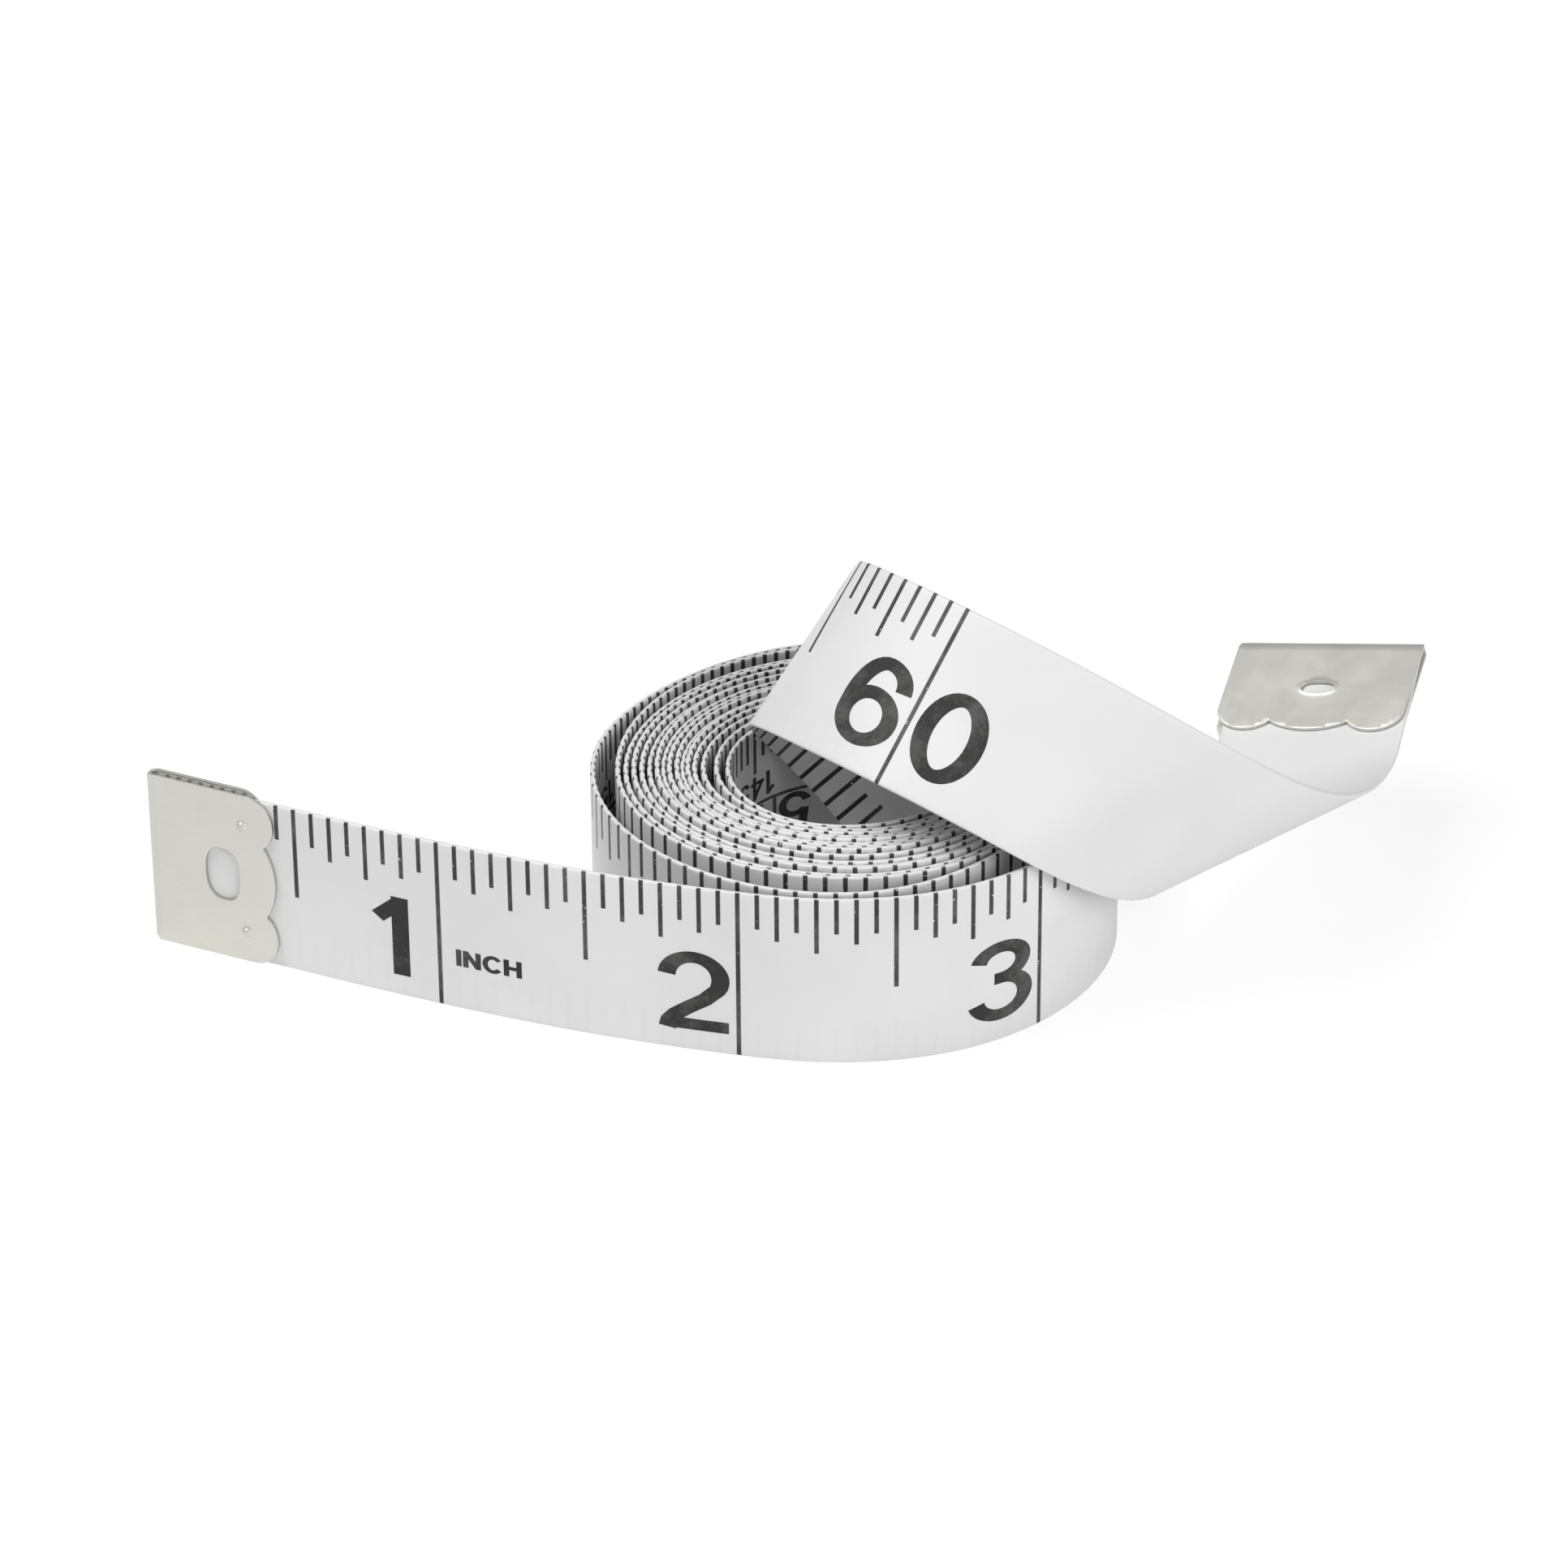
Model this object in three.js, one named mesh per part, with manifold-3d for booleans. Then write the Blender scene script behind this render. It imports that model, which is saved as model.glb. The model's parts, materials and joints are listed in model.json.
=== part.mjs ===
// Cloth tape measure: one long printed ribbon with a folded metal clip on each end. The ribbon stands on its
// lower edge, wound into a loose oval coil. Its outer end runs out as a free lead. Its inner end is lifted out
// of the middle, bends over, rests across the top of the coil and turns back on itself at a soft oblique fold.
// Lengths are in millimetres and angles in degrees. Z is up.
import * as THREE from "three";
import { mergeVertices } from "three/addons/utils/BufferGeometryUtils.js";
import Module from "manifold-3d";

const wasm = await Module();
wasm.setup();

// Tape: five eighths of an inch wide, drawn thinner than it is so that its turns stay clear of each other
const tapeWidth = 15.875;
const tapeThickness = 0.22;

// Free gap between two lengths of tape that meet at a bend line
const bendGap = 0.3;

// Coil: an oval spiral on the middle of the tape, wound inwards and counter-clockwise as seen from above
const coilSizeX = 42.8;
const coilSizeY = 38;
const turnStepX = 0.748;
const turnStepY = 0.673;
const turnCount = 14.7;
const coilStartAngle = -47.5;
const stepsPerTurn = 32;

// Lead: from the coil outwards, as runs of even bend, to the left where negative bends are to the right
const leadLength = 76.2;
const leadRuns = [
  { runShare: 0.18, bend: -28.5, slant: 0 },
  { runShare: 0.19, bend: -22.5, slant: 0 },
  { runShare: 0.38, bend: -9, slant: 0 },
  { runShare: 0.25, bend: -3, slant: 0 },
];
const leadSteps = 30;
const curlLineShare = 0.4;

// Tail: from the coil's inner end, with the slant of the bend lines across the tape, along it for each across
const tailLength = 128;
const tailRuns = [
  { runShare: 0.123, bend: 87, slant: 0 },
  { runShare: 0.106, bend: 90, slant: 0.45 },
  { runShare: 0.097, bend: 40.5, slant: 0.7 },
  { runShare: 0.145, bend: 121, slant: 0.25 },
  { runShare: 0.216, bend: 57.5, slant: -0.05 },
  { runShare: 0.185, bend: 61, slant: 0.75 },
  { runShare: 0.128, bend: 42, slant: 0.8 },
];
const tailSteps = 96;
const crestLineShare = 0.392;
const foldLineShare = 0.749;

// A bend comes in over this much tape on each side of where two runs meet, and a slant over this much
const bendEase = 2.5;
const slantEase = 6;

// Clips: a strip folded over the tape's end, with three scallops along its inner edge and an oval opening.
// The tape lies straight in its clip and for this much before it
const clipReach = 10.4;
const straightBeforeClip = 4.1;
const clipMetal = 0.25;
const clipClearance = 0.2;
const clipOverhang = 0.4;
const clipCorner = 0.8;
const scallopCount = 3;
const scallopDepth = 0.9;
const openingAlong = 2.8;
const openingAcross = 5.2;
const openingReach = 5.2;
const cutOverrun = 1;

// Smoothness of arcs
const scallopSteps = 8;
const foldSteps = 12;
const openingSteps = 28;
const cornerSteps = 4;

// Rows of points across the tape on which its gap to itself is measured
const measureRows = 5;

const up = new THREE.Vector3(0, 0, 1);
const tapeMaterial = new THREE.MeshStandardMaterial({ color: 0xe2e3e4, roughness: 0.45, metalness: 0 });
const clipMaterial = new THREE.MeshStandardMaterial({ color: 0xc8c8c0, roughness: 0.35, metalness: 0.9 });

// Stations: places on the middle of the tape, with its direction, the way across it and the slant of its bend line
function coilStation(turn) {
  const angle = THREE.MathUtils.degToRad(coilStartAngle) + turn * 2 * Math.PI;
  const radiusX = coilSizeX / 2 - turnStepX * turn;
  const radiusY = coilSizeY / 2 - turnStepY * turn;
  const at = new THREE.Vector3(radiusX * Math.cos(angle), radiusY * Math.sin(angle), tapeWidth / 2);
  const perTurn = new THREE.Vector3(
    -turnStepX * Math.cos(angle) - radiusX * Math.sin(angle) * 2 * Math.PI,
    -turnStepY * Math.sin(angle) + radiusY * Math.cos(angle) * 2 * Math.PI,
    0,
  );
  return { at, along: perTurn.clone().normalize(), across: up.clone(), slant: 0, perTurn: perTurn.length() };
}

function coilStations() {
  const stations = [coilStation(bendGap / 2 / coilStation(0).perTurn)];
  for (let step = 1; step < turnCount * stepsPerTurn; step += 1) {
    stations.push(coilStation(step / stepsPerTurn));
  }
  stations.push(coilStation(turnCount));
  return stations;
}

// The runs of a free length of tape, as lengths, with the straight run that its clip holds as the last
function runsOf(shares, length) {
  const straight = clipReach + straightBeforeClip;
  const runs = shares.map(({ runShare, bend, slant }) => ({ extent: runShare * (length - straight), bend, slant }));
  return [...runs, { extent: straight, bend: 0, slant: 0 }];
}

// The mean, within an ease to each side, of a value that is constant along each run
function easedValue(runs, ease, valueOf) {
  const ends = [0];
  const sums = [0];
  for (const run of runs) {
    ends.push(ends.at(-1) + run.extent);
    sums.push(sums.at(-1) + valueOf(run) * run.extent);
  }
  const total = (place) => {
    const index = Math.max(1, ends.findIndex((end, k) => k > 0 && place <= end + Number.EPSILON));
    const part = (place - ends[index - 1]) / (ends[index] - ends[index - 1]);
    return sums[index - 1] + (sums[index] - sums[index - 1]) * part;
  };
  return (place) => {
    const low = Math.max(0, place - ease);
    const high = Math.min(ends.at(-1), place + ease);
    return (total(high) - total(low)) / (high - low);
  };
}

// A free length of tape from a starting station, with a station at each place along it
function freeStations(start, runs, places) {
  const bendRate = easedValue(runs, bendEase, (run) => THREE.MathUtils.degToRad(run.bend) / run.extent);
  const slantAt = easedValue(runs, slantEase, (run) => run.slant);
  const stations = [];
  let { at, along, across } = start;
  let last = 0;
  for (const place of places) {
    const step = place - last;
    const middle = last + step / 2;
    const line = across.clone().addScaledVector(along, slantAt(middle));
    const turn = new THREE.Quaternion();
    turn.setFromAxisAngle(line.clone().normalize(), bendRate(middle) * line.length() * step);
    const nextAlong = along.clone().applyQuaternion(turn);
    at = at.clone().addScaledVector(along.clone().add(nextAlong).normalize(), step);
    along = nextAlong;
    across = across.clone().applyQuaternion(turn);
    last = place;
    stations.push({ at, along, across, slant: slantAt(place), place });
  }
  return stations;
}

// The vector from the middle of the tape to its upper edge, along the bend line
function toEdge(station) {
  return station.across.clone().addScaledVector(station.along, station.slant).multiplyScalar(tapeWidth / 2);
}

function toFace(station) {
  return station.across.clone().cross(station.along).multiplyScalar(tapeThickness / 2);
}

// The half gap at a bend line, measured along the tape
function halfGap(runs, place) {
  const slant = easedValue(runs, slantEase, (run) => run.slant)(place);
  return (bendGap / 2) * Math.hypot(1, slant);
}

function evenPlaces(length, steps, cuts) {
  const places = Array.from({ length: steps + 1 }, (_, k) => (k * length) / steps);
  const free = places.filter((place) => cuts.every(([low, high]) => place < low || place > high));
  return [...free, ...cuts.flat()].sort((a, b) => a - b);
}

function between(stations, low, high) {
  return stations.filter((station) => station.place >= low && station.place <= high);
}

// A closed ribbon through its stations, with a rectangular section
function ribbon(stations) {
  const positions = [];
  for (const station of stations) {
    const edge = toEdge(station);
    const face = toFace(station);
    for (const [edgeSign, faceSign] of [[-1, -1], [1, -1], [1, 1], [-1, 1]]) {
      const corner = station.at.clone().addScaledVector(edge, edgeSign).addScaledVector(face, faceSign);
      positions.push(corner.x, corner.y, corner.z);
    }
  }
  const index = [0, 1, 2, 0, 2, 3];
  for (let k = 0; k + 1 < stations.length; k += 1) {
    for (let side = 0; side < 4; side += 1) {
      const a = k * 4 + side;
      const b = k * 4 + ((side + 1) % 4);
      index.push(a, a + 4, b + 4, a, b + 4, b);
    }
  }
  const end = (stations.length - 1) * 4;
  index.push(end, end + 2, end + 1, end, end + 3, end + 2);
  const geometry = new THREE.BufferGeometry();
  geometry.setAttribute("position", new THREE.Float32BufferAttribute(positions, 3));
  geometry.setIndex(index);
  geometry.computeVertexNormals();
  return geometry;
}

// Solids for cutting and joining
function toSolid(geometry) {
  const bare = geometry.clone();
  bare.deleteAttribute("normal");
  bare.deleteAttribute("uv");
  const merged = mergeVertices(bare);
  const vertProperties = new Float32Array(merged.attributes.position.array);
  return new wasm.Manifold(new wasm.Mesh({ numProp: 3, vertProperties, triVerts: new Uint32Array(merged.index.array) }));
}

function toGeometry(solid) {
  const mesh = solid.getMesh();
  const geometry = new THREE.BufferGeometry();
  geometry.setAttribute("position", new THREE.BufferAttribute(mesh.vertProperties, 3));
  geometry.setIndex(new THREE.BufferAttribute(mesh.triVerts, 1));
  geometry.computeVertexNormals();
  return geometry;
}

// The clip stands at the tape's end, with X outwards along the tape, Y through it and Z across it
const slotHalf = tapeThickness / 2 + clipClearance;
const clipHalf = slotHalf + clipMetal;
const clipWidth = tapeWidth + clipOverhang;

// The side of the folded strip, open towards the tape
function foldProfile() {
  const shape = new THREE.Shape();
  shape.moveTo(-clipReach, -clipHalf);
  shape.lineTo(0, -clipHalf);
  shape.absarc(0, 0, clipHalf, -Math.PI / 2, Math.PI / 2, false);
  shape.lineTo(-clipReach, clipHalf);
  shape.lineTo(-clipReach, slotHalf);
  shape.lineTo(0, slotHalf);
  shape.absarc(0, 0, slotHalf, Math.PI / 2, -Math.PI / 2, true);
  shape.lineTo(-clipReach, -slotHalf);
  shape.closePath();
  return shape;
}

// The face of the strip, with its scallops towards the tape. Each is an arc between two cusps
function faceOutline() {
  const cuspX = scallopDepth - clipReach;
  const chord = clipWidth / scallopCount;
  const radius = (chord * chord / 4 + scallopDepth * scallopDepth) / (2 * scallopDepth);
  const spread = Math.asin(chord / 2 / radius);
  const shape = new THREE.Shape();
  shape.moveTo(cuspX, clipWidth / 2);
  for (let k = 0; k < scallopCount; k += 1) {
    const middle = clipWidth / 2 - (k + 1 / 2) * chord;
    shape.absarc(radius - clipReach, middle, radius, Math.PI - spread, Math.PI + spread, false);
  }
  shape.lineTo(clipHalf - clipCorner, -clipWidth / 2);
  shape.absarc(clipHalf - clipCorner, clipCorner - clipWidth / 2, clipCorner, -Math.PI / 2, 0, false);
  shape.lineTo(clipHalf, clipWidth / 2 - clipCorner);
  shape.absarc(clipHalf - clipCorner, clipWidth / 2 - clipCorner, clipCorner, 0, Math.PI / 2, false);
  shape.closePath();
  return shape;
}

// A shape drawn in X and Z, through the whole thickness of the clip
function throughClip(shape, curveSegments) {
  const depth = 2 * (clipHalf + cutOverrun);
  const geometry = new THREE.ExtrudeGeometry(shape, { depth, bevelEnabled: false, curveSegments });
  geometry.translate(0, 0, -depth / 2);
  geometry.rotateX(Math.PI / 2);
  return toSolid(geometry);
}

function clipSolid() {
  const depth = clipWidth + 2 * cutOverrun;
  const side = new THREE.ExtrudeGeometry(foldProfile(), { depth, bevelEnabled: false, curveSegments: foldSteps });
  side.translate(0, 0, -depth / 2);
  const opening = new THREE.Shape();
  opening.absellipse(-openingReach, 0, openingAlong / 2, openingAcross / 2, 0, 2 * Math.PI, false);
  const face = throughClip(faceOutline(), scallopSteps);
  return toSolid(side).intersect(face).subtract(throughClip(opening, openingSteps));
}

// A clip's place: at the tape's end, lifted by the rise across the tape
function clipMatrix(station, rise) {
  const face = station.across.clone().cross(station.along);
  const place = new THREE.Matrix4().makeBasis(station.along, face, station.across);
  return place.setPosition(station.at.clone().addScaledVector(station.across, rise));
}

// Routes
const coil = coilStations();
const coilEnd = coil.at(-1);
const coilFirst = coilStation(0);
const leadStart = { at: coilFirst.at, along: coilFirst.along.clone().negate(), across: coilFirst.across };
const leadMouth = bendGap / 2;
const leadBends = runsOf(leadRuns, leadLength);
const curlLine = curlLineShare * leadLength;
const curlHalf = halfGap(leadBends, curlLine);
const leadCuts = [[0, leadMouth], [curlLine - curlHalf, curlLine + curlHalf]];
const lead = freeStations(leadStart, leadBends, evenPlaces(leadLength, leadSteps, leadCuts));
const tailBends = runsOf(tailRuns, tailLength);
const crestLine = crestLineShare * tailLength;
const crestHalf = halfGap(tailBends, crestLine);
const foldLine = foldLineShare * tailLength;
const foldHalf = halfGap(tailBends, foldLine);
const tailCuts = [[crestLine - crestHalf, crestLine + crestHalf], [foldLine - foldHalf, foldLine + foldHalf]];
const tail = freeStations(coilEnd, tailBends, evenPlaces(tailLength, tailSteps, tailCuts));
const firstPlace = tailLength / tailSteps;

// The least gap of the tape to itself, from the points of its rows to the lines of its rows further along
function rowLine(stations, row) {
  const share = (2 * row) / (measureRows - 1) - 1;
  return stations.map((station) => station.at.clone().addScaledVector(toEdge(station), share));
}

function distancesAlong(line) {
  const along = [0];
  for (let k = 1; k < line.length; k += 1) {
    along.push(along[k - 1] + line[k].distanceTo(line[k - 1]));
  }
  return along;
}

function leastGap(pointLine, chordLine, along) {
  const chord = new THREE.Line3();
  const nearest = new THREE.Vector3();
  let least = Infinity;
  for (let k = 0; k + 1 < chordLine.length; k += 1) {
    chord.set(chordLine[k], chordLine[k + 1]);
    for (let j = 0; j < pointLine.length; j += 1) {
      const apart = Math.max(along[k] - along[j], along[j] - along[k + 1]);
      if (apart > tapeWidth) {
        chord.closestPointToPoint(pointLine[j], true, nearest);
        least = Math.min(least, nearest.distanceTo(pointLine[j]));
      }
    }
  }
  return least - tapeThickness;
}

const whole = [...lead.slice().reverse(), ...coil, ...between(tail, firstPlace, tailLength)];
const rowLines = Array.from({ length: measureRows }, (_, row) => rowLine(whole, row));
const along = distancesAlong(rowLines[(measureRows - 1) / 2]);
const gaps = rowLines.flatMap((points) => rowLines.map((chords) => leastGap(points, chords, along)));
console.log(`least gap of the tape to itself: ${Math.min(...gaps).toFixed(2)} mm`);
console.log(`length of the tape: ${along.at(-1).toFixed(1)} mm`);

// Parts
const tape = new THREE.Group();
function add(name, geometry, material) {
  const mesh = new THREE.Mesh(geometry, material);
  mesh.name = name;
  tape.add(mesh);
  return mesh;
}

add("tape_lead", ribbon(between(lead, curlLine + curlHalf, leadLength)), tapeMaterial);
add("tape_front", ribbon(between(lead, leadMouth, curlLine - curlHalf)), tapeMaterial);
add("tape_coil", ribbon([...coil, ...between(tail, firstPlace, crestLine - crestHalf)]), tapeMaterial);
add("tape_strip", ribbon(between(tail, crestLine + crestHalf, foldLine - foldHalf)), tapeMaterial);
add("tape_end", ribbon(between(tail, foldLine + foldHalf, tailLength)), tapeMaterial);

// The start clip stands level with the tape's lower edge, and the end clip is centred on the tape
const clip = toGeometry(clipSolid());
add("start_clip", clip, clipMaterial).applyMatrix4(clipMatrix(lead.at(-1), clipOverhang / 2));
add("end_clip", clip, clipMaterial).applyMatrix4(clipMatrix(tail.at(-1), 0));

// The bend lines that the free ends swing about, each a point and the way along it
function bendLine(start, runs, place) {
  const station = freeStations(start, runs, evenPlaces(place, tailSteps, [])).at(-1);
  return { at: station.at.toArray(), line: toEdge(station).normalize().toArray() };
}
const bendLines = {
  swing: { at: coilFirst.at.toArray(), line: up.toArray() },
  curl: bendLine(leadStart, leadBends, curlLine),
  crest: bendLine(coilEnd, tailBends, crestLine),
  fold: bendLine(coilEnd, tailBends, foldLine),
};

// The part's origin is the middle of its box, on the surface that it stands on
const box = new THREE.Box3().setFromObject(tape, true);
const boxMiddle = box.getCenter(new THREE.Vector3());
tape.position.set(-boxMiddle.x, -boxMiddle.y, -box.min.z);
tape.userData = { bendLines };

export default tape;
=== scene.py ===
# Cloth tape measure: a coated ribbon, wound into a loose oval coil, with a folded metal clip on each end. One
# face is printed in inches and the other in centimetres and inches. Lengths are in millimetres and angles in
# degrees unless a comment says otherwise. Z is up.
import json
import math

import bmesh
import bpy
import numpy as np
from bpy.props import FloatProperty, FloatVectorProperty, PointerProperty
from bpy.types import Operator, Panel, PropertyGroup
from mathutils import Matrix, Quaternion, Vector


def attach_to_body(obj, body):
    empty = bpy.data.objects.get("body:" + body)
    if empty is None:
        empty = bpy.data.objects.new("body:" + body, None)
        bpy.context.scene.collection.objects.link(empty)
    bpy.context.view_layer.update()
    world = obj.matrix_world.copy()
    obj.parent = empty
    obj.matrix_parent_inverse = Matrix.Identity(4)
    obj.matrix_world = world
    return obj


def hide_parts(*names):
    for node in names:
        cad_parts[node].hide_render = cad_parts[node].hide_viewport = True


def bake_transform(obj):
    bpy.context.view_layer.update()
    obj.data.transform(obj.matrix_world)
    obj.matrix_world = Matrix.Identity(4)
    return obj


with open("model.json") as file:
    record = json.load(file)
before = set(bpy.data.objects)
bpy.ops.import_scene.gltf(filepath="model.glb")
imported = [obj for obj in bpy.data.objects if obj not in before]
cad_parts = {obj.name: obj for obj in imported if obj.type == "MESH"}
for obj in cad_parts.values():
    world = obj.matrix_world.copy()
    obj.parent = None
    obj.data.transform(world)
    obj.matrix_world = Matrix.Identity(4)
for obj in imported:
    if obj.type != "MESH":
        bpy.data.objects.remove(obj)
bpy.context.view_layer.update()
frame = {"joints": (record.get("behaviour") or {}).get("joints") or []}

bl_info = {
    "name": "Cloth Tape Measure",
    "version": (1, 0, 0),
    "blender": (4, 5, 0),
    "location": "3D View > Sidebar > Tape Measure",
    "description": "Builds a wound cloth tape measure with its printing and its end clips",
    "category": "Object",
}

MM = 0.001
INCH = 25.4
CM = 10.0

# Ribbon: its cut size, its rounded edges, and how far apart the lines of its mesh are
TAPE_WIDTH = 15.875
TAPE_THICKNESS = 0.42
EDGE_ROUND = 0.2
EDGE_STEPS = 6
EDGE_BAND = 0.35
# The cut edges' place among the ribbon's materials, after the two faces
CUT_EDGE = 2
COIL_STEP = 0.8
COIL_ROWS = 2
FREE_STEP = 0.5
FREE_ROWS = 12
# Distances within which points are taken as one, the first in metres
SEAM_DISTANCE = 1e-6
WELD_DISTANCE = 0.001
SLICE_DISTANCE = 1e-5
FLAT_ANGLE = 0.01

# Coil: the radius at which each turn passes each side, as turns from the outer end and millimetres.
# The outermost turn is loose, so the wound bundle lies to the left and the back inside it
START_ANGLE = -47.5
COIL_TURNS = 15.7
COIL_START_X = 21.4
COIL_START_Y = 19.0
OUTER_RIGHT = ((0, 21.4), (0.13, 21.4))
OUTER_BACK = ((0, 19.0), (0.38, 19.05))
OUTER_LEFT = ((0, 21.4), (0.63, 21.55))
OUTER_FRONT = ((0, 19.0), (0.7, 18.8), (0.88, 18.62), (1.05, 15.8), (1.13, 15.5), (1.63, 16.5))
INNER_X = (15.7, 10.4)
INNER_Y = (15.7, 9.1)

# The wound bundle: for each side its first turn and radius, then the step inwards of every turn after it.
# Some turns lie close and some loose, as hand-wound cloth does
RIGHT_STEPS = (0.46, 0.44, 0.52, 0.44, 0.46, 0.55, 0.44, 0.44, 0.52, 0.44, 0.46, 0.44, 0.55, 0.49)
BACK_STEPS = (1.45, 0.5, 0.85, 0.65, 0.45, 0.45, 0.78, 0.44, 0.62, 0.46, 0.44, 0.74, 0.62, 0.8)
LEFT_STEPS = (2.1, 0.65, 0.65, 0.65, 0.65, 0.6, 0.5, 0.5, 0.61, 0.46, 0.44, 0.53, 0.72, 1.08)
FRONT_STEPS = (0.46, 0.72, 0.44, 0.44, 0.78, 0.44, 0.46, 0.66, 0.44, 0.44, 0.7, 0.44, 0.48)
BUNDLE_RIGHT = (1.13, 16.75, RIGHT_STEPS)
BUNDLE_BACK = (1.38, 18.4, BACK_STEPS)
BUNDLE_LEFT = (0.63, 21.55, LEFT_STEPS)
BUNDLE_FRONT = (1.88, 16.2, FRONT_STEPS)
# How far the outermost turns stand out midway between the back and the left side, or in where it is negative
CORNER_BULGES = (-0.6, 0.08, -0.1, -0.1)
# How far a turn may stand above its neighbours, and how often that comes and goes over the coil
TURN_RISE = 0.38
TURN_RISE_WAVES = 6
RADIUS_EASE = 0.06
EASE_SAMPLES = 13
STATIONS_PER_TURN = 360
# How much nearer the middle each turn is where the ribbon leaves the coil at either end
OUTER_TURN_STEP = (0.748, 0.673)
COIL_LENGTH = 1383.64

# Free ends: runs of even bend from the coil outwards, each a share of the bending length, its bend, and how
# far its bend lines slant along the ribbon for each millimetre across it
LEAD_LENGTH = 76.2
LEAD_RUNS = ((0.18, -28.5, 0), (0.19, -22.5, 0), (0.38, -9, 0), (0.25, -3, 0))
CURL_LINE_SHARE = 0.4
TAIL_LENGTH = 128.0
TAIL_RUNS = (
    (0.123, 87, 0),
    (0.106, 90, 0.45),
    (0.097, 40.5, 0.7),
    (0.145, 121, 0.25),
    (0.216, 57.5, -0.05),
    (0.185, 61, 0.75),
    (0.128, 42, 0.8),
)
CREST_LINE_SHARE = 0.392
FOLD_LINE_SHARE = 0.749
STRAIGHT_END = 14.5
BEND_EASE = 2.5
SLANT_EASE = 6.0
SLANT_ROUNDS = 30
BEND_STEP = 0.25
# Where the ribbon is cut into pieces beyond its bends, and how far a bend reaches to each side of its line
COIL_CUT_BEYOND = 22
RISER_CUT_BEFORE = 14
BEND_REACH = 5

# Clips: a metal strip folded round the ribbon's end
FACE_REACH = 10.9
BACK_REACH = 9.9
CLIP_METAL = 0.25
CLIP_SLOT = 0.31
CLIP_OVERHANG = 0.4
CLIP_CORNER = 0.6
# Share of the width that each outer scallop takes, and how it rounds into the clip's side
SCALLOP_SHARE = 0.29
SCALLOP_RUN = 2.25
SCALLOP_ROUND = 2.6
SCALLOP_ARC_STEP = 6
FACE_WINDOW_REACH = 6.15
FACE_WINDOW = (3.15, 5.15)
BACK_WINDOW_REACH = 5.0
BACK_WINDOW = (1.4, 2.9)
WINDOW_SQUARENESS = 2.6
WINDOW_STEPS = 40
CLIP_CELL = 0.5
LIP_HEIGHT = 0.06
LIP_REACH = 0.35
LIP_CELL = 0.17
PRONG_REACH = 8.1
PRONG_SPREAD = 5.2
PRONG_HEIGHT = 0.36
PRONG_RADIUS = 0.52
PRONG_CELL = 0.12
METAL_EDGE = 0.05
METAL_EDGE_SEGMENTS = 2
METAL_EDGE_ANGLE = 50
# The clip on the last inches sits a little askew on the ribbon
END_CLIP_TURN = -3
END_CLIP_SHIFT = 0.2

# Scales: first and last numbers, ticks to each, and how near to whole a count of ticks has to be
FIRST_INCH = 1
LAST_INCH = 60
LAST_CM = 151
TICKS_PER_INCH = 16
TICKS_PER_CM = 10
WHOLE_TICK = 0.01
# Printing. Ticks are listed as every so many of them and their length, and heights are measured down from
# the edge that the inches are ruled from
INK_STROKE = 0.38
RULE_HALF_STROKE = INK_STROKE / 2.4
INK_MARGIN = 0.02
INK_BLUR = 0.04
INCH_TICKS = ((1, 3.3), (2, 4.3), (4, 5.2), (8, 8.6), (16, TAPE_WIDTH))
MM_TICKS = ((1, 2.9), (5, 3.6), (10, 4.3), (10, 4.3), (10, 4.3))
BACK_INCH_TICKS = ((1, 3.5), (2, 4.0), (4, 4.4), (8, 4.4), (16, 8.4))
RULE_BELOW = 7.4
NUMERAL_BELOW = 6.2
NUMERAL_SIZE = (1.03, 1.0)
NUMERAL_GAP = 0.68
PAIR_GAP = 0.68
UNIT_SIZE = (0.25, 0.21)
UNIT_BELOW = 10.05
UNIT_AFTER = 1.45
BACK_NUMERAL_SIZE = (0.54, 0.47)
BACK_NUMERAL_BELOW = 7.65
CM_NUMERAL_SIZE = (0.29, 0.3)
CM_NUMERAL_BELOW = 4.6
INK_PROUD = 0.012
INK_SUNK = 0.012
INK_CELL = 0.6

# Numerals, drawn in a cell with a broad pen that is thinner up and down
NUMERAL_HEIGHT = 7.65
NUMERAL_CELL = 5.8
PEN_X = 0.73
PEN_Y = 0.54
LETTER_PEN = (0.95, 0.8)
ARC_STEP = 9
GLYPH_GAP = 0.62

# Surfaces: what each shader keeps all over
CLOTH_SHADER = {"Roughness": 0.42, "Specular IOR Level": 0.3, "Coat Weight": 0.06, "Coat Roughness": 0.3}
INK_SHADER = {"Roughness": 0.6, "Specular IOR Level": 0.2}
METAL_SHADER = {"Metallic": 1}
FLOOR_SHADER = {"Roughness": 0.9}
# How light the greyer cloth, the worn ink, the pinholes and the dull and bright metal are beside the plain
# colour
GREY_CLOTH = 0.95
WORN_INK = 3.0
PINHOLE_INK = 6
DULL_METAL = 0.96
BRIGHT_METAL = 1.02
# Share of the other face's printing that shows through the cloth
SHOW_THROUGH = 0.015
# Noises as scale, detail and roughness, and the values between which each fades in. Scales are for each
# metre, and on the metal for each millimetre
WEAR_BROAD = (260, 3, 0.6)
WEAR_FINE = (2600, 2, 0.6)
WEAR_SHARES = (0.75, 0.25)
WEAR_FADE = (0.43, 0.66)
PINHOLE_FADE = (0.25, 0.33)
CLOTH_GRIT = (3200, 2)
CLOTH_TONE = (90, 2)
CLOTH_FADE = (0.3, 0.7)
METAL_LINES = (1, 3, 0.7)
METAL_LINE_SCALE = (0.35, 5, 1)
METAL_LINE_FADE = (0.5, 0.75)
METAL_BLOOM = (0.22, 3, 0.6)
METAL_BLOOM_FADE = (0.35, 0.7)
METAL_GRIT = (4, 2)
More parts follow.
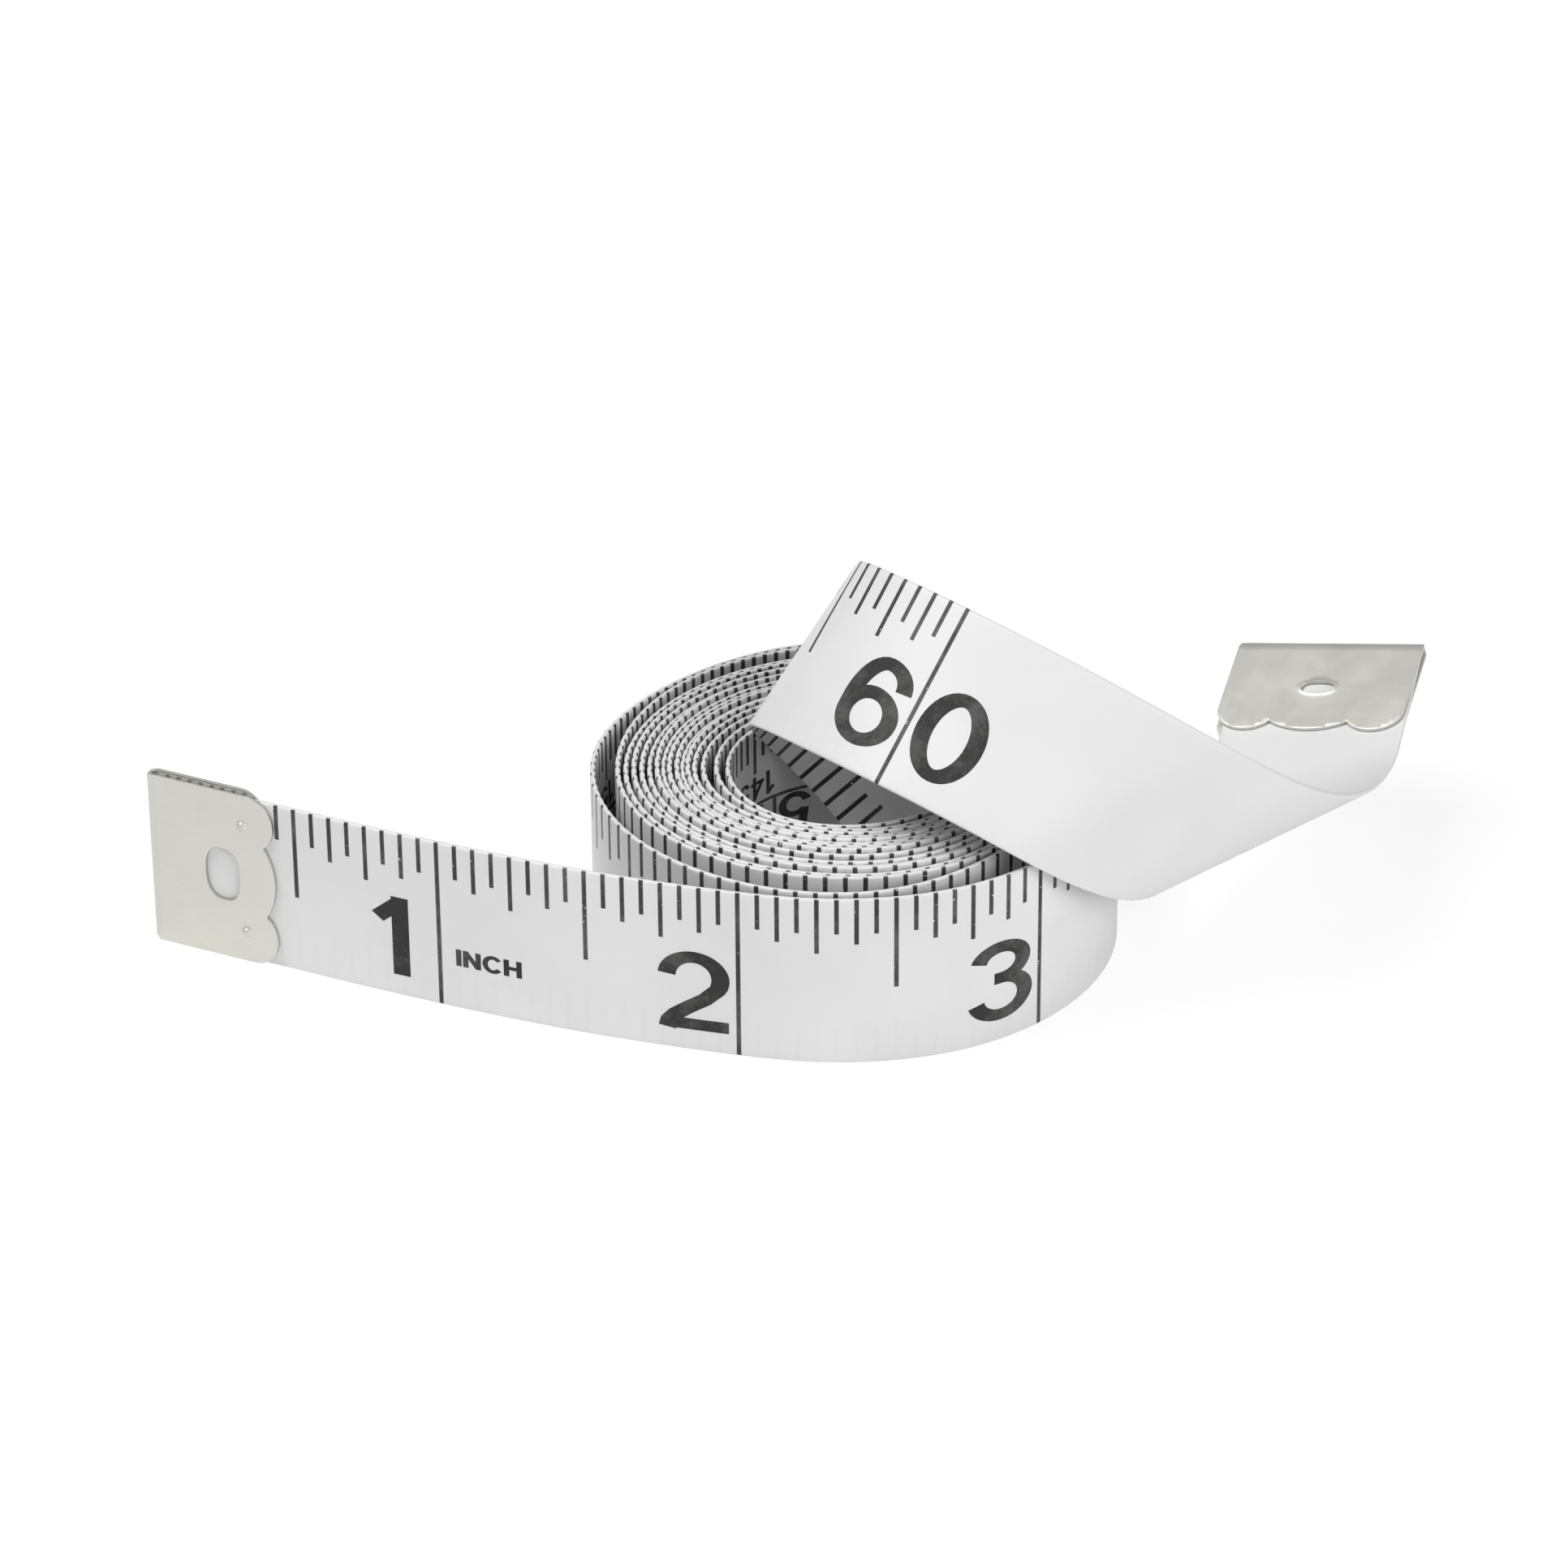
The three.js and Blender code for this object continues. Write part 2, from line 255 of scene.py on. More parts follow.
# Relief: the heights of threads and grit, and of scratches and grit, then each bump's strength and depth
# in metres
THREAD_PITCH = 0.5
CLOTH_HEIGHTS = (0.3, 0.4)
METAL_HEIGHTS = (-0.04, 0.3)
CLOTH_BUMP = (0.12, 0.00004)
METAL_BUMP = (0.2, 0.00004)
# Roughness of the metal, and how much its dull blooms add
METAL_ROUGHNESS = (0.4, 0.05)

# Camera, from the photograph's view
CAMERA_TARGET = (-1.063, 18.913, 0.0)
CAMERA_ELEVATION = 33.478
CAMERA_ROLL = -0.454
CAMERA_DISTANCE = 629.2
CAMERA_FOCAL_PX = 9101
PHOTO_SIDE_PX = 1932
SENSOR = 36.0
CAMERA_SIGHT_METRES = 10

# Light: a dim even surround, with soft lamps as size, power share, place, in metres. They aim at the coil
SURROUND = 0.07
SURROUND_MIRRORED = 0.47
FLOOR_SIZE = 3.0
FLOOR_GLOW = 0.8
FLOOR_GLOW_MIRRORED = 0.4
FLOOR_GLOW_STRENGTH = 1.06
LAMP_TARGET = (0, 0, 0.01)
LAMPS = {
    "high_left": ((0.5, 0.5), 1.0, (-0.35, 0.0, 0.65)),
    "right": ((0.5, 0.5), 0.84, (0.5, -0.5, 0.4)),
    "left": ((0.5, 0.5), 0.11, (-0.4, -0.5, 0.5)),
}


# Settings that a user would change


class RibbonSettings(PropertyGroup):
    width: FloatProperty(
        name="Width", description="Width of the ribbon", default=TAPE_WIDTH * MM, unit="LENGTH"
    )
    thickness: FloatProperty(
        name="Thickness", description="Thickness of the ribbon", default=TAPE_THICKNESS * MM, unit="LENGTH"
    )
    cloth_colour: FloatVectorProperty(
        name="Cloth",
        description="Colour of the coated cloth",
        default=(0.8, 0.8, 0.8, 1),
        size=4,
        subtype="COLOR",
    )
    ink_colour: FloatVectorProperty(
        name="Ink",
        description="Colour of the printing",
        default=(0.032, 0.0315, 0.031, 1),
        size=4,
        subtype="COLOR",
    )


class ClipSettings(PropertyGroup):
    metal_colour: FloatVectorProperty(
        name="Metal",
        description="Colour of the clips",
        default=(0.66, 0.66, 0.61, 1),
        size=4,
        subtype="COLOR",
    )
    metal: FloatProperty(
        name="Metal thickness",
        description="Thickness of the clips' metal",
        default=CLIP_METAL * MM,
        unit="LENGTH",
    )


class StageSettings(PropertyGroup):
    floor_colour: FloatVectorProperty(
        name="Floor",
        description="Colour of the floor",
        default=(0.96, 0.96, 0.96, 1),
        size=4,
        subtype="COLOR",
    )
    key_power: FloatProperty(
        name="Key light", description="Power of the main lamp", default=4.3, unit="POWER"
    )


# Route of the ribbon


def eased_radius(table, turn):
    turns, radii = zip(*table)
    shifts = np.linspace(-RADIUS_EASE, RADIUS_EASE, EASE_SAMPLES)
    nearby = [np.clip(turn + shift, 0, COIL_TURNS) for shift in shifts]
    return np.mean([np.interp(near, turns, radii) for near in nearby], axis=0)


def side_table(outer, bundle, inner):
    """Radii at one side by turn: the loose outer turn, the bundle, and the inner end of the coil."""
    first, radius, steps = bundle
    wound = [(first + k, radius - sum(steps[:k])) for k in range(len(steps) + 1)]
    return [*outer, *wound[1 if outer[-1][0] == first else 0 :], inner]


def coil_points(turn):
    angle = np.radians(START_ANGLE + 360 * turn)
    right, back, left, front = (
        eased_radius(side_table(*side), turn)
        for side in (
            (OUTER_RIGHT, BUNDLE_RIGHT, INNER_X),
            (OUTER_BACK, BUNDLE_BACK, INNER_Y),
            (OUTER_LEFT, BUNDLE_LEFT, INNER_X),
            (OUTER_FRONT, BUNDLE_FRONT, INNER_Y),
        )
    )
    corner = np.where((np.cos(angle) < 0) & (np.sin(angle) > 0), np.sin(2 * angle) ** 2, 0)
    bulge = corner * np.interp(np.floor(turn), range(len(CORNER_BULGES)), CORNER_BULGES, right=0)
    across_x = (np.where(np.cos(angle) > 0, right, left) + bulge) * np.cos(angle)
    across_y = (np.where(np.sin(angle) > 0, back, front) + bulge) * np.sin(angle)
    share = turn / COIL_TURNS
    rise = TURN_RISE * (1 - np.cos(2 * np.pi * TURN_RISE_WAVES * share)) / 2 * np.sin(np.pi * share)
    return np.stack([across_x, across_y, TAPE_WIDTH / 2 + rise], 1)


def coil_middle():
    """The coil's centre, found from the joint where the lead leaves it."""
    swing = next(joint for joint in frame["joints"] if joint["name"] == "lead_swing")
    start = math.radians(START_ANGLE)
    point = Vector(swing["pos_m"]) / MM
    return np.array([point.x - COIL_START_X * math.cos(start), point.y - COIL_START_Y * math.sin(start), 0])


def leaving_direction(angle, radius_x, radius_y):
    """The way that the ribbon runs, inwards along the coil, where it leaves it."""
    angle = math.radians(angle)
    step_x, step_y = OUTER_TURN_STEP
    turn = 2 * math.pi
    run_x = -step_x * math.cos(angle) - radius_x * math.sin(angle) * turn
    run_y = -step_y * math.sin(angle) + radius_y * math.cos(angle) * turn
    return Vector((run_x, run_y, 0)).normalized()


def eased_runs(runs, ease, column):
    """The mean, within an ease to each side, of a value that is constant along each run."""
    ends = np.concatenate([[0], np.cumsum([run[0] for run in runs])])
    sums = np.concatenate([[0], np.cumsum([run[0] * run[column] for run in runs])])

    def value(place):
        low = max(0, place - ease)
        high = min(ends[-1], place + ease)
        return (np.interp(high, ends, sums) - np.interp(low, ends, sums)) / (high - low)

    return value


def free_stations(start, shares, length):
    """Stations of a free end from its start on the coil, as place, point, direction, way across and slant."""
    bending = length - STRAIGHT_END
    runs = [(share * bending, math.radians(bend) / (share * bending), slant) for share, bend, slant in shares]
    runs.append((STRAIGHT_END, 0, 0))
    bend_rate = eased_runs(runs, BEND_EASE, 1)
    slant_at = eased_runs(runs, SLANT_EASE, 2)
    point, along, across = start
    stations = [(0, point, along, across, slant_at(0))]
    count = math.ceil(length / BEND_STEP)
    step = length / count
    for k in range(count):
        middle = (k + 0.5) * step
        line = across + along * slant_at(middle)
        turn = Quaternion(line.normalized(), bend_rate(middle) * line.length * step)
        next_along = turn @ along
        point = point + (along + next_along).normalized() * step
        along = next_along
        across = turn @ across
        place = (k + 1) * step
        stations.append((place, point, along, across, slant_at(place)))
    return stations


class Route:
    """The middle of the ribbon as stations, by their place along it from the zero end."""

    def __init__(self):
        middle = coil_middle()
        turns = np.linspace(0, COIL_TURNS, round(COIL_TURNS * STATIONS_PER_TURN) + 1)
        wound = coil_points(turns) + middle
        up = Vector((0, 0, 1))
        outward = -leaving_direction(START_ANGLE, COIL_START_X, COIL_START_Y)
        lead = free_stations((Vector(wound[0]), outward, up), LEAD_RUNS, LEAD_LENGTH)
        end_angle = START_ANGLE + 360 * COIL_TURNS
        inward = leaving_direction(end_angle, INNER_X[1], INNER_Y[1])
        tail = free_stations((Vector(wound[-1]), inward, up), TAIL_RUNS, TAIL_LENGTH)
        steps = np.linalg.norm(np.diff(wound, axis=0), axis=1)
        wound_places = np.concatenate([[0], np.cumsum(steps)]) * COIL_LENGTH / steps.sum()
        self.coil_end = LEAD_LENGTH + COIL_LENGTH
        self.length = self.coil_end + TAIL_LENGTH
        directions = np.gradient(wound, axis=0)
        directions /= np.linalg.norm(directions, axis=1)[:, None]
        lead_rows = [(LEAD_LENGTH - s, tuple(p), tuple(-a), tuple(c), -k) for s, p, a, c, k in reversed(lead)]
        tail_rows = [(self.coil_end + s, tuple(p), tuple(a), tuple(c), k) for s, p, a, c, k in tail]
        # The coil's first and last stations are the free ends' own
        inner = slice(1, -1)
        count = len(turns) - 2
        wound_columns = (
            LEAD_LENGTH + wound_places[inner],
            wound[inner],
            directions[inner],
            [tuple(up)] * count,
            np.zeros(count),
        )
        columns = zip(zip(*lead_rows), wound_columns, zip(*tail_rows))
        self.places, self.points, self.along, self.across, self.slants = map(np.concatenate, columns)

    def rows(self, values, places):
        return np.stack([np.interp(places, self.places, values[:, k]) for k in range(3)], 1)

    def surface(self, places, rises, lifts):
        """Points on the ribbon, by place along it, rise above its middle and lift towards its inch face."""
        places, rises, lifts = np.broadcast_arrays(*(np.asarray(x, float) for x in (places, rises, lifts)))
        crossing = places.copy()
        for _ in range(SLANT_ROUNDS):
            crossing = places - rises * np.interp(crossing, self.places, self.slants)
        along = self.rows(self.along, crossing)
        across = self.rows(self.across, crossing)
        slants = np.interp(crossing, self.places, self.slants)
        normals = np.cross(along, across)
        normals /= np.linalg.norm(normals, axis=1)[:, None]
        rulings = across + along * slants[:, None]
        return self.rows(self.points, crossing) + rulings * rises[:, None] + normals * lifts[:, None]

    def end_frame(self, place, outwards):
        """A clip's frame at an end of the ribbon, with X outwards, Z across and Y through it."""
        along = Vector(self.rows(self.along, [place])[0]) * outwards
        across = Vector(self.rows(self.across, [place])[0])
        point = Vector(self.rows(self.points, [place])[0])
        through = across.cross(along)
        turned = Matrix((along, through, across)).transposed().to_4x4()
        turned.translation = point
        return turned


ROUTE = Route()
SWING_PLACE = LEAD_LENGTH
CURL_PLACE = LEAD_LENGTH * (1 - CURL_LINE_SHARE)
CREST_PLACE = ROUTE.coil_end + TAIL_LENGTH * CREST_LINE_SHARE
FOLD_PLACE = ROUTE.coil_end + TAIL_LENGTH * FOLD_LINE_SHARE
FRONT_CUT = (SWING_PLACE + CURL_PLACE) / 2
COIL_CUT = SWING_PLACE + COIL_CUT_BEYOND
RISER_CUT = CREST_PLACE - RISER_CUT_BEFORE
STRIP_CUT = (CREST_PLACE + FOLD_PLACE) / 2

# Lengths of ribbon: name, solid that it stands for, first and last place, mesh step, bodies in order of place
# and place of the bend between them
LENGTHS = (
    ("ribbon_lead", "tape_lead", 0, FRONT_CUT, FREE_STEP, ("lead", "front"), CURL_PLACE),
    ("ribbon_front", "tape_front", FRONT_CUT, COIL_CUT, FREE_STEP, ("front", "coil"), SWING_PLACE),
    ("ribbon_coil", "tape_coil", COIL_CUT, RISER_CUT, COIL_STEP, ("coil",), None),
    ("ribbon_crest", "tape_strip", RISER_CUT, STRIP_CUT, FREE_STEP, ("coil", "strip"), CREST_PLACE),
    ("ribbon_end", "tape_end", STRIP_CUT, ROUTE.length, FREE_STEP, ("strip", "end"), FOLD_PLACE),
)


def attach(obj, bodies, bend_place):
    """Lets a piece ride on its body. A piece between two bodies stays where it lies, its place baked into its
    mesh.
    """
    if len(bodies) == 1:
        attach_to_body(obj, bodies[0])
        return
    start, end = ROUTE.surface([bend_place - BEND_REACH, bend_place + BEND_REACH], 0, 0) * MM
    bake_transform(obj)


# Materials


# Where the mix node keeps its sockets for colours, after those for numbers and vectors
MIX_COLOURS = slice(6, 8)
MIXED_COLOUR = 2


class Wiring:
    """Short calls for adding and linking nodes in one tree."""

    def __init__(self, tree):
        self.tree = tree

    def node(self, kind, **settings):
        made = self.tree.nodes.new(kind)
        for key, value in settings.items():
            setattr(made, key, value)
        return made

    def feed(self, socket, value):
        if isinstance(value, bpy.types.NodeSocket):
            self.tree.links.new(value, socket)
        else:
            socket.default_value = value

    def math(self, operation, *values):
        made = self.node("ShaderNodeMath", operation=operation)
        for socket, value in zip(made.inputs, values):
            self.feed(socket, value)
        return made.outputs[0]

    def mix(self, factor, first, second):
        made = self.node("ShaderNodeMix", data_type="RGBA")
        self.feed(made.inputs["Factor"], factor)
        for socket, colour in zip(made.inputs[MIX_COLOURS], (first, second)):
            self.feed(socket, colour)
        return made.outputs[MIXED_COLOUR]

    def noise(self, vector, scale, detail, roughness=0.5):
        made = self.node("ShaderNodeTexNoise")
        self.feed(made.inputs["Vector"], vector)
        made.inputs["Scale"].default_value = scale
        made.inputs["Detail"].default_value = detail
        made.inputs["Roughness"].default_value = roughness
        return made.outputs[0]

    def step(self, value, low, high):
        made = self.node("ShaderNodeMapRange", interpolation_type="SMOOTHSTEP")
        self.feed(made.inputs["Value"], value)
        self.feed(made.inputs["From Min"], low)
        self.feed(made.inputs["From Max"], high)
        return made.outputs["Result"]

    def weighed(self, first, second, shares):
        """The sum of two values, each times its share."""
        parts = [self.math("MULTIPLY", value, share) for value, share in zip((first, second), shares)]
        return self.math("ADD", *parts)

    def group(self, name, **values):
        """What a shared node group puts out. It is built when it is first asked for."""
        tree = bpy.data.node_groups.get(name) or SHARED_GROUPS[name](name)
        made = self.node("ShaderNodeGroup", node_tree=tree)
        for label, value in values.items():
            self.feed(made.inputs[label], value)
        return made.outputs


def new_group(name, inputs, outputs):
    """A shader node group's wiring, the values it is given and the sockets it puts out."""
    tree = bpy.data.node_groups.new(name, "ShaderNodeTree")
    for label, value in inputs.items():
        kind = "NodeSocketVector" if value is None else "NodeSocketFloat"
        socket = tree.interface.new_socket(label, in_out="INPUT", socket_type=kind)
        if value is not None:
            socket.default_value = value
    for label in outputs:
        tree.interface.new_socket(label, in_out="OUTPUT", socket_type="NodeSocketFloat")
    given = tree.nodes.new("NodeGroupInput").outputs
    put = tree.nodes.new("NodeGroupOutput").inputs
    return Wiring(tree), given, put


def ruled_scale_group(name):
    """Ticks square to the ribbon's edge, longer at every so many of them."""
    inputs = {"Along": 0, "Depth": 0, "Spacing": 1, "Stroke": INK_STROKE, "Last": LAST_CM * TICKS_PER_CM}
    for level in range(len(INCH_TICKS)):
        inputs[f"Every {level}"] = 1
        inputs[f"Length {level}"] = 1
    w, given, put = new_group(name, inputs, ["Mask"])
    count = w.math("DIVIDE", given["Along"], given["Spacing"])
    tick = w.math("ROUND", count)
    apart = w.math("MULTIPLY", w.math("ABSOLUTE", w.math("SUBTRACT", count, tick)), given["Spacing"])
    length = given["Length 0"]
    for level in range(1, len(INCH_TICKS)):
        share = w.math("DIVIDE", tick, given[f"Every {level}"])
        nearest = w.math("COMPARE", share, w.math("ROUND", share), WHOLE_TICK)
        longer = w.math("SUBTRACT", given[f"Length {level}"], length)
        length = w.math("ADD", length, w.math("MULTIPLY", nearest, longer))
    half = w.math("MULTIPLY", given["Stroke"], 0.5)
    narrow, wide = w.math("SUBTRACT", half, INK_BLUR), w.math("ADD", half, INK_BLUR)
    beside = w.math("SUBTRACT", 1, w.step(apart, narrow, wide))
    above = w.math("SUBTRACT", 1, w.step(given["Depth"], w.math("SUBTRACT", length, INK_BLUR), length))
    below = w.step(given["Depth"], INK_MARGIN - INK_BLUR, INK_MARGIN + INK_BLUR)
    within = w.math("MULTIPLY", w.math("LESS_THAN", tick, w.math("ADD", given["Last"], 0.5)), below)
    w.feed(put["Mask"], w.math("MULTIPLY", w.math("MULTIPLY", beside, above), within))
    return w.tree


def ink_wear_group(name):
    """How thick the ink lies: mottled, with pinholes."""
    w, given, put = new_group(name, {"Place": None}, ["Cover", "Tone"])
    broad = w.noise(given["Place"], *WEAR_BROAD)
    fine = w.noise(given["Place"], *WEAR_FINE)
    w.feed(put["Cover"], w.step(fine, *PINHOLE_FADE))
    w.feed(put["Tone"], w.step(w.weighed(broad, fine, WEAR_SHARES), *WEAR_FADE))
    return w.tree


def cloth_grain_group(name):
    """The fine crossed threads of the cloth under its coating, and slow changes of its tone."""
    w, given, put = new_group(name, {"Along": 0, "Depth": 0, "Place": None}, ["Height", "Tone"])
    warp = w.math("SINE", w.math("MULTIPLY", given["Along"], 2 * math.pi / THREAD_PITCH))
    weft = w.math("SINE", w.math("MULTIPLY", given["Depth"], 2 * math.pi / THREAD_PITCH))
    threads = w.math("ADD", w.math("ABSOLUTE", warp), w.math("ABSOLUTE", weft))
    grit = w.noise(given["Place"], *CLOTH_GRIT)
    w.feed(put["Height"], w.weighed(threads, grit, CLOTH_HEIGHTS))
    w.feed(put["Tone"], w.step(w.noise(given["Place"], *CLOTH_TONE), *CLOTH_FADE))
    return w.tree


def scratched_metal_group(name):
    """Fine rolling lines along thin tinned metal, with dull blooms and grit. Places are in millimetres."""
    w, given, put = new_group(name, {"Place": None}, ["Scratches", "Bloom", "Height"])
    stretch = w.node("ShaderNodeMapping")
    w.feed(stretch.inputs["Vector"], given["Place"])
    stretch.inputs["Scale"].default_value = METAL_LINE_SCALE
    scratches = w.step(w.noise(stretch.outputs[0], *METAL_LINES), *METAL_LINE_FADE)
    grit = w.noise(given["Place"], *METAL_GRIT)
    w.feed(put["Scratches"], scratches)
    w.feed(put["Bloom"], w.step(w.noise(given["Place"], *METAL_BLOOM), *METAL_BLOOM_FADE))
    w.feed(put["Height"], w.weighed(scratches, grit, METAL_HEIGHTS))
    return w.tree


SHARED_GROUPS = {
    "Ruled scale": ruled_scale_group,
    "Ink wear": ink_wear_group,
    "Cloth grain": cloth_grain_group,
    "Scratched metal": scratched_metal_group,
}


def new_material(name, plain):
    """A material with its wiring and its shader, which keeps the plain values all over."""
    material = bpy.data.materials.new(name)
    material.use_nodes = True
    shader = material.node_tree.nodes["Principled BSDF"]
    for label, value in plain.items():
        shader.inputs[label].default_value = value
    return material, Wiring(material.node_tree), shader


def shaded(colour, share):
    """A colour made lighter or darker."""
    return (*(share * channel for channel in colour[:3]), 1)


def bump(w, height, strength, distance):
    made = w.node("ShaderNodeBump")
    made.inputs["Strength"].default_value = strength
    made.inputs["Distance"].default_value = distance
    w.feed(made.inputs["Height"], height)
    return made.outputs[0]


def ribbon_places(w):
    """Place along the ribbon and depth below its ruled edge, in millimetres, and a point in space."""
    spread = w.node("ShaderNodeSeparateXYZ")
    w.feed(spread.inputs[0], w.node("ShaderNodeUVMap", uv_map="Ribbon").outputs[0])
    space = w.node("ShaderNodeTexCoord").outputs["Object"]
    return spread.outputs[0], spread.outputs[1], space


def scale_mask(w, along, depth, spacing, ticks, last):
    values = {"Along": along, "Depth": depth, "Spacing": spacing, "Last": last}
    for level, (every, length) in enumerate(ticks):
        values[f"Every {level}"] = every
        values[f"Length {level}"] = length
    return w.group("Ruled scale", **values)["Mask"]


def ink_colours(settings):
    """The ink where it lies thick and where it is worn."""
    ink = tuple(settings.ink_colour)
    return ink, shaded(ink, WORN_INK)


def cloth_material(name, settings, printed):
    """Coated cloth, with the printing that its face bears."""
    material, w, shader = new_material(name, CLOTH_SHADER)
    along, depth, space = ribbon_places(w)
    grain = w.group("Cloth grain", Along=along, Depth=depth, Place=space)
    cloth = tuple(settings.cloth_colour)
    base = w.mix(grain["Tone"], shaded(cloth, GREY_CLOTH), cloth)
    if printed:
        wear = w.group("Ink wear", Place=space)
        ink, worn_ink = ink_colours(settings)
        through, mask = printed(w, along, depth)
        base = w.mix(w.math("MULTIPLY", through, SHOW_THROUGH), base, ink)
        inked = w.math("MULTIPLY", mask, wear["Cover"])
        base = w.mix(inked, base, w.mix(wear["Tone"], ink, worn_ink))
    w.feed(shader.inputs["Base Color"], base)
    w.feed(shader.inputs["Normal"], bump(w, grain["Height"], *CLOTH_BUMP))
    return material


def inch_scale(w, along, depth, ticks):
    return scale_mask(w, along, depth, INCH / TICKS_PER_INCH, ticks, LAST_INCH * TICKS_PER_INCH)


def inch_face_marks(w, along, depth):
    """What shows through from the other face, and this face's own scale."""
    mask = inch_scale(w, along, depth, INCH_TICKS)
    from_below = w.math("SUBTRACT", TAPE_WIDTH, depth)
    return inch_scale(w, along, from_below, BACK_INCH_TICKS), mask


def back_face_marks(w, along, depth):
    """What shows through from the inch face, and the centimetres, the inches and the rule between them."""
    from_below = w.math("SUBTRACT", TAPE_WIDTH, depth)
    millimetres = scale_mask(w, along, depth, CM / TICKS_PER_CM, MM_TICKS, LAST_CM * TICKS_PER_CM)
    inches = inch_scale(w, along, from_below, BACK_INCH_TICKS)
    off_rule = w.math("ABSOLUTE", w.math("SUBTRACT", depth, RULE_BELOW))
    rule = w.math("LESS_THAN", off_rule, RULE_HALF_STROKE)
    before_end = w.math("LESS_THAN", along, LAST_INCH * INCH)
    mask = w.math("MAXIMUM", w.math("MAXIMUM", millimetres, inches), w.math("MULTIPLY", rule, before_end))
    return inch_scale(w, along, depth, INCH_TICKS), mask


def ink_material(name, settings):
    material, w, shader = new_material(name, INK_SHADER)
    space = w.node("ShaderNodeTexCoord").outputs["Object"]
    wear = w.group("Ink wear", Place=space)
    ink, worn_ink = ink_colours(settings)
    toned = w.mix(wear["Tone"], ink, worn_ink)
    w.feed(shader.inputs["Base Color"], w.mix(wear["Cover"], shaded(ink, PINHOLE_INK), toned))
    return material


def clip_material(name, settings):
    material, w, shader = new_material(name, METAL_SHADER)
    sheet = w.node("ShaderNodeUVMap", uv_map="Metal").outputs[0]
    metal = w.group("Scratched metal", Place=sheet)
    base = tuple(settings.metal_colour)
    toned = w.mix(metal["Bloom"], shaded(base, DULL_METAL), base)
    w.feed(shader.inputs["Base Color"], w.mix(metal["Scratches"], toned, shaded(base, BRIGHT_METAL)))
    least, more = METAL_ROUGHNESS
    w.feed(shader.inputs["Roughness"], w.math("ADD", least, w.math("MULTIPLY", metal["Bloom"], more)))
    w.feed(shader.inputs["Normal"], bump(w, metal["Height"], *METAL_BUMP))
    return material


# Meshes


def add_object(name, data):
    made = bpy.data.objects.new(name, data)
    bpy.context.scene.collection.objects.link(made)
    return made


def to_object(bm, name, materials):
    mesh = bpy.data.meshes.new(name)
    bm.to_mesh(mesh)
    bm.free()
    for material in materials:
        mesh.materials.append(material)
    return add_object(name, mesh)


def final_mesh(obj):
    """The mesh of an object with its modifiers, or of a curve."""
    bpy.context.view_layer.update()
    evaluated = obj.evaluated_get(bpy.context.evaluated_depsgraph_get())
    return bpy.data.meshes.new_from_object(evaluated)


def ribbon_section(width, thickness, rows):
    """The ribbon's section as rise, lift and face, from the inch face round the edge to the other face."""
    side = width / 2 - EDGE_ROUND
    level = thickness / 2 - EDGE_ROUND
    inner = side - EDGE_BAND
    rises = [-side, *np.linspace(-inner, inner, rows + 1), side]
    angles = np.linspace(90, -90, EDGE_STEPS + 2)[1:-1]
    edge = []
    for angle in angles:
        lift = math.copysign(level, angle) + EDGE_ROUND * math.sin(math.radians(angle))
        edge.append((side + EDGE_ROUND * math.cos(math.radians(angle)), lift, int(angle < 0)))
    section = [(rise, thickness / 2, 0) for rise in rises] + edge
    section += [(rise, -thickness / 2, 1) for rise in reversed(rises)]
    return section + [(-rise, lift, face) for rise, lift, face in reversed(edge)]


def ribbon_mesh(name, low, high, step, rows, settings, materials):
    """A closed length of ribbon, as a grid that is wrapped round the section and laid along the route."""
    width = settings.width / MM
    section = ribbon_section(width, settings.thickness / MM, rows)
    columns = math.ceil((high - low) / step)
    around = len(section)
    places = np.linspace(low, high, columns + 1)
    lines = [ROUTE.surface(places, rise, lift) * MM for rise, lift, _ in section]
    bm = bmesh.new()
    bmesh.ops.create_grid(bm, x_segments=columns, y_segments=around, size=1)
    spot = {v: (round((v.co.x + 1) / 2 * columns), round((v.co.y + 1) / 2 * around)) for v in bm.verts}
    printed = bm.loops.layers.uv.new("Ribbon")
    for face in bm.faces:
        row = min(spot[v][1] for v in face.verts)
        first, second = section[row][2], section[(row + 1) % around][2]
        face.material_index = first if first == second else CUT_EDGE
        face.smooth = True
        for loop in face.loops:
            column, line = spot[loop.vert]
            loop[printed].uv = (places[column], width / 2 - section[line % around][0])
    for vert, (column, line) in spot.items():
        vert.co = lines[line % around][column]
    bmesh.ops.remove_doubles(bm, verts=bm.verts, dist=SEAM_DISTANCE)
    rims = [edge for edge in bm.edges if edge.is_boundary]
    for edge in rims:
        edge.smooth = False
    ends = bmesh.ops.holes_fill(bm, edges=rims, sides=0)
    for face in ends["faces"]:
        face.material_index = CUT_EDGE
        face.smooth = False
    bmesh.ops.recalc_face_normals(bm, faces=bm.faces)
    return to_object(bm, name, materials)


# Numerals, as strokes of a broad pen. A stroke is a line of points, and a ring closes on itself


def arc(middle_x, middle_y, radius_x, radius_y, start, end, step=ARC_STEP):
    count = max(2, round(abs(end - start) / step))
    angles = np.radians(np.linspace(start, end, count + 1))
    return [(middle_x + radius_x * math.cos(a), middle_y + radius_y * math.sin(a)) for a in angles]


def stem(x):
    return [(x, 0), (x, NUMERAL_HEIGHT)]


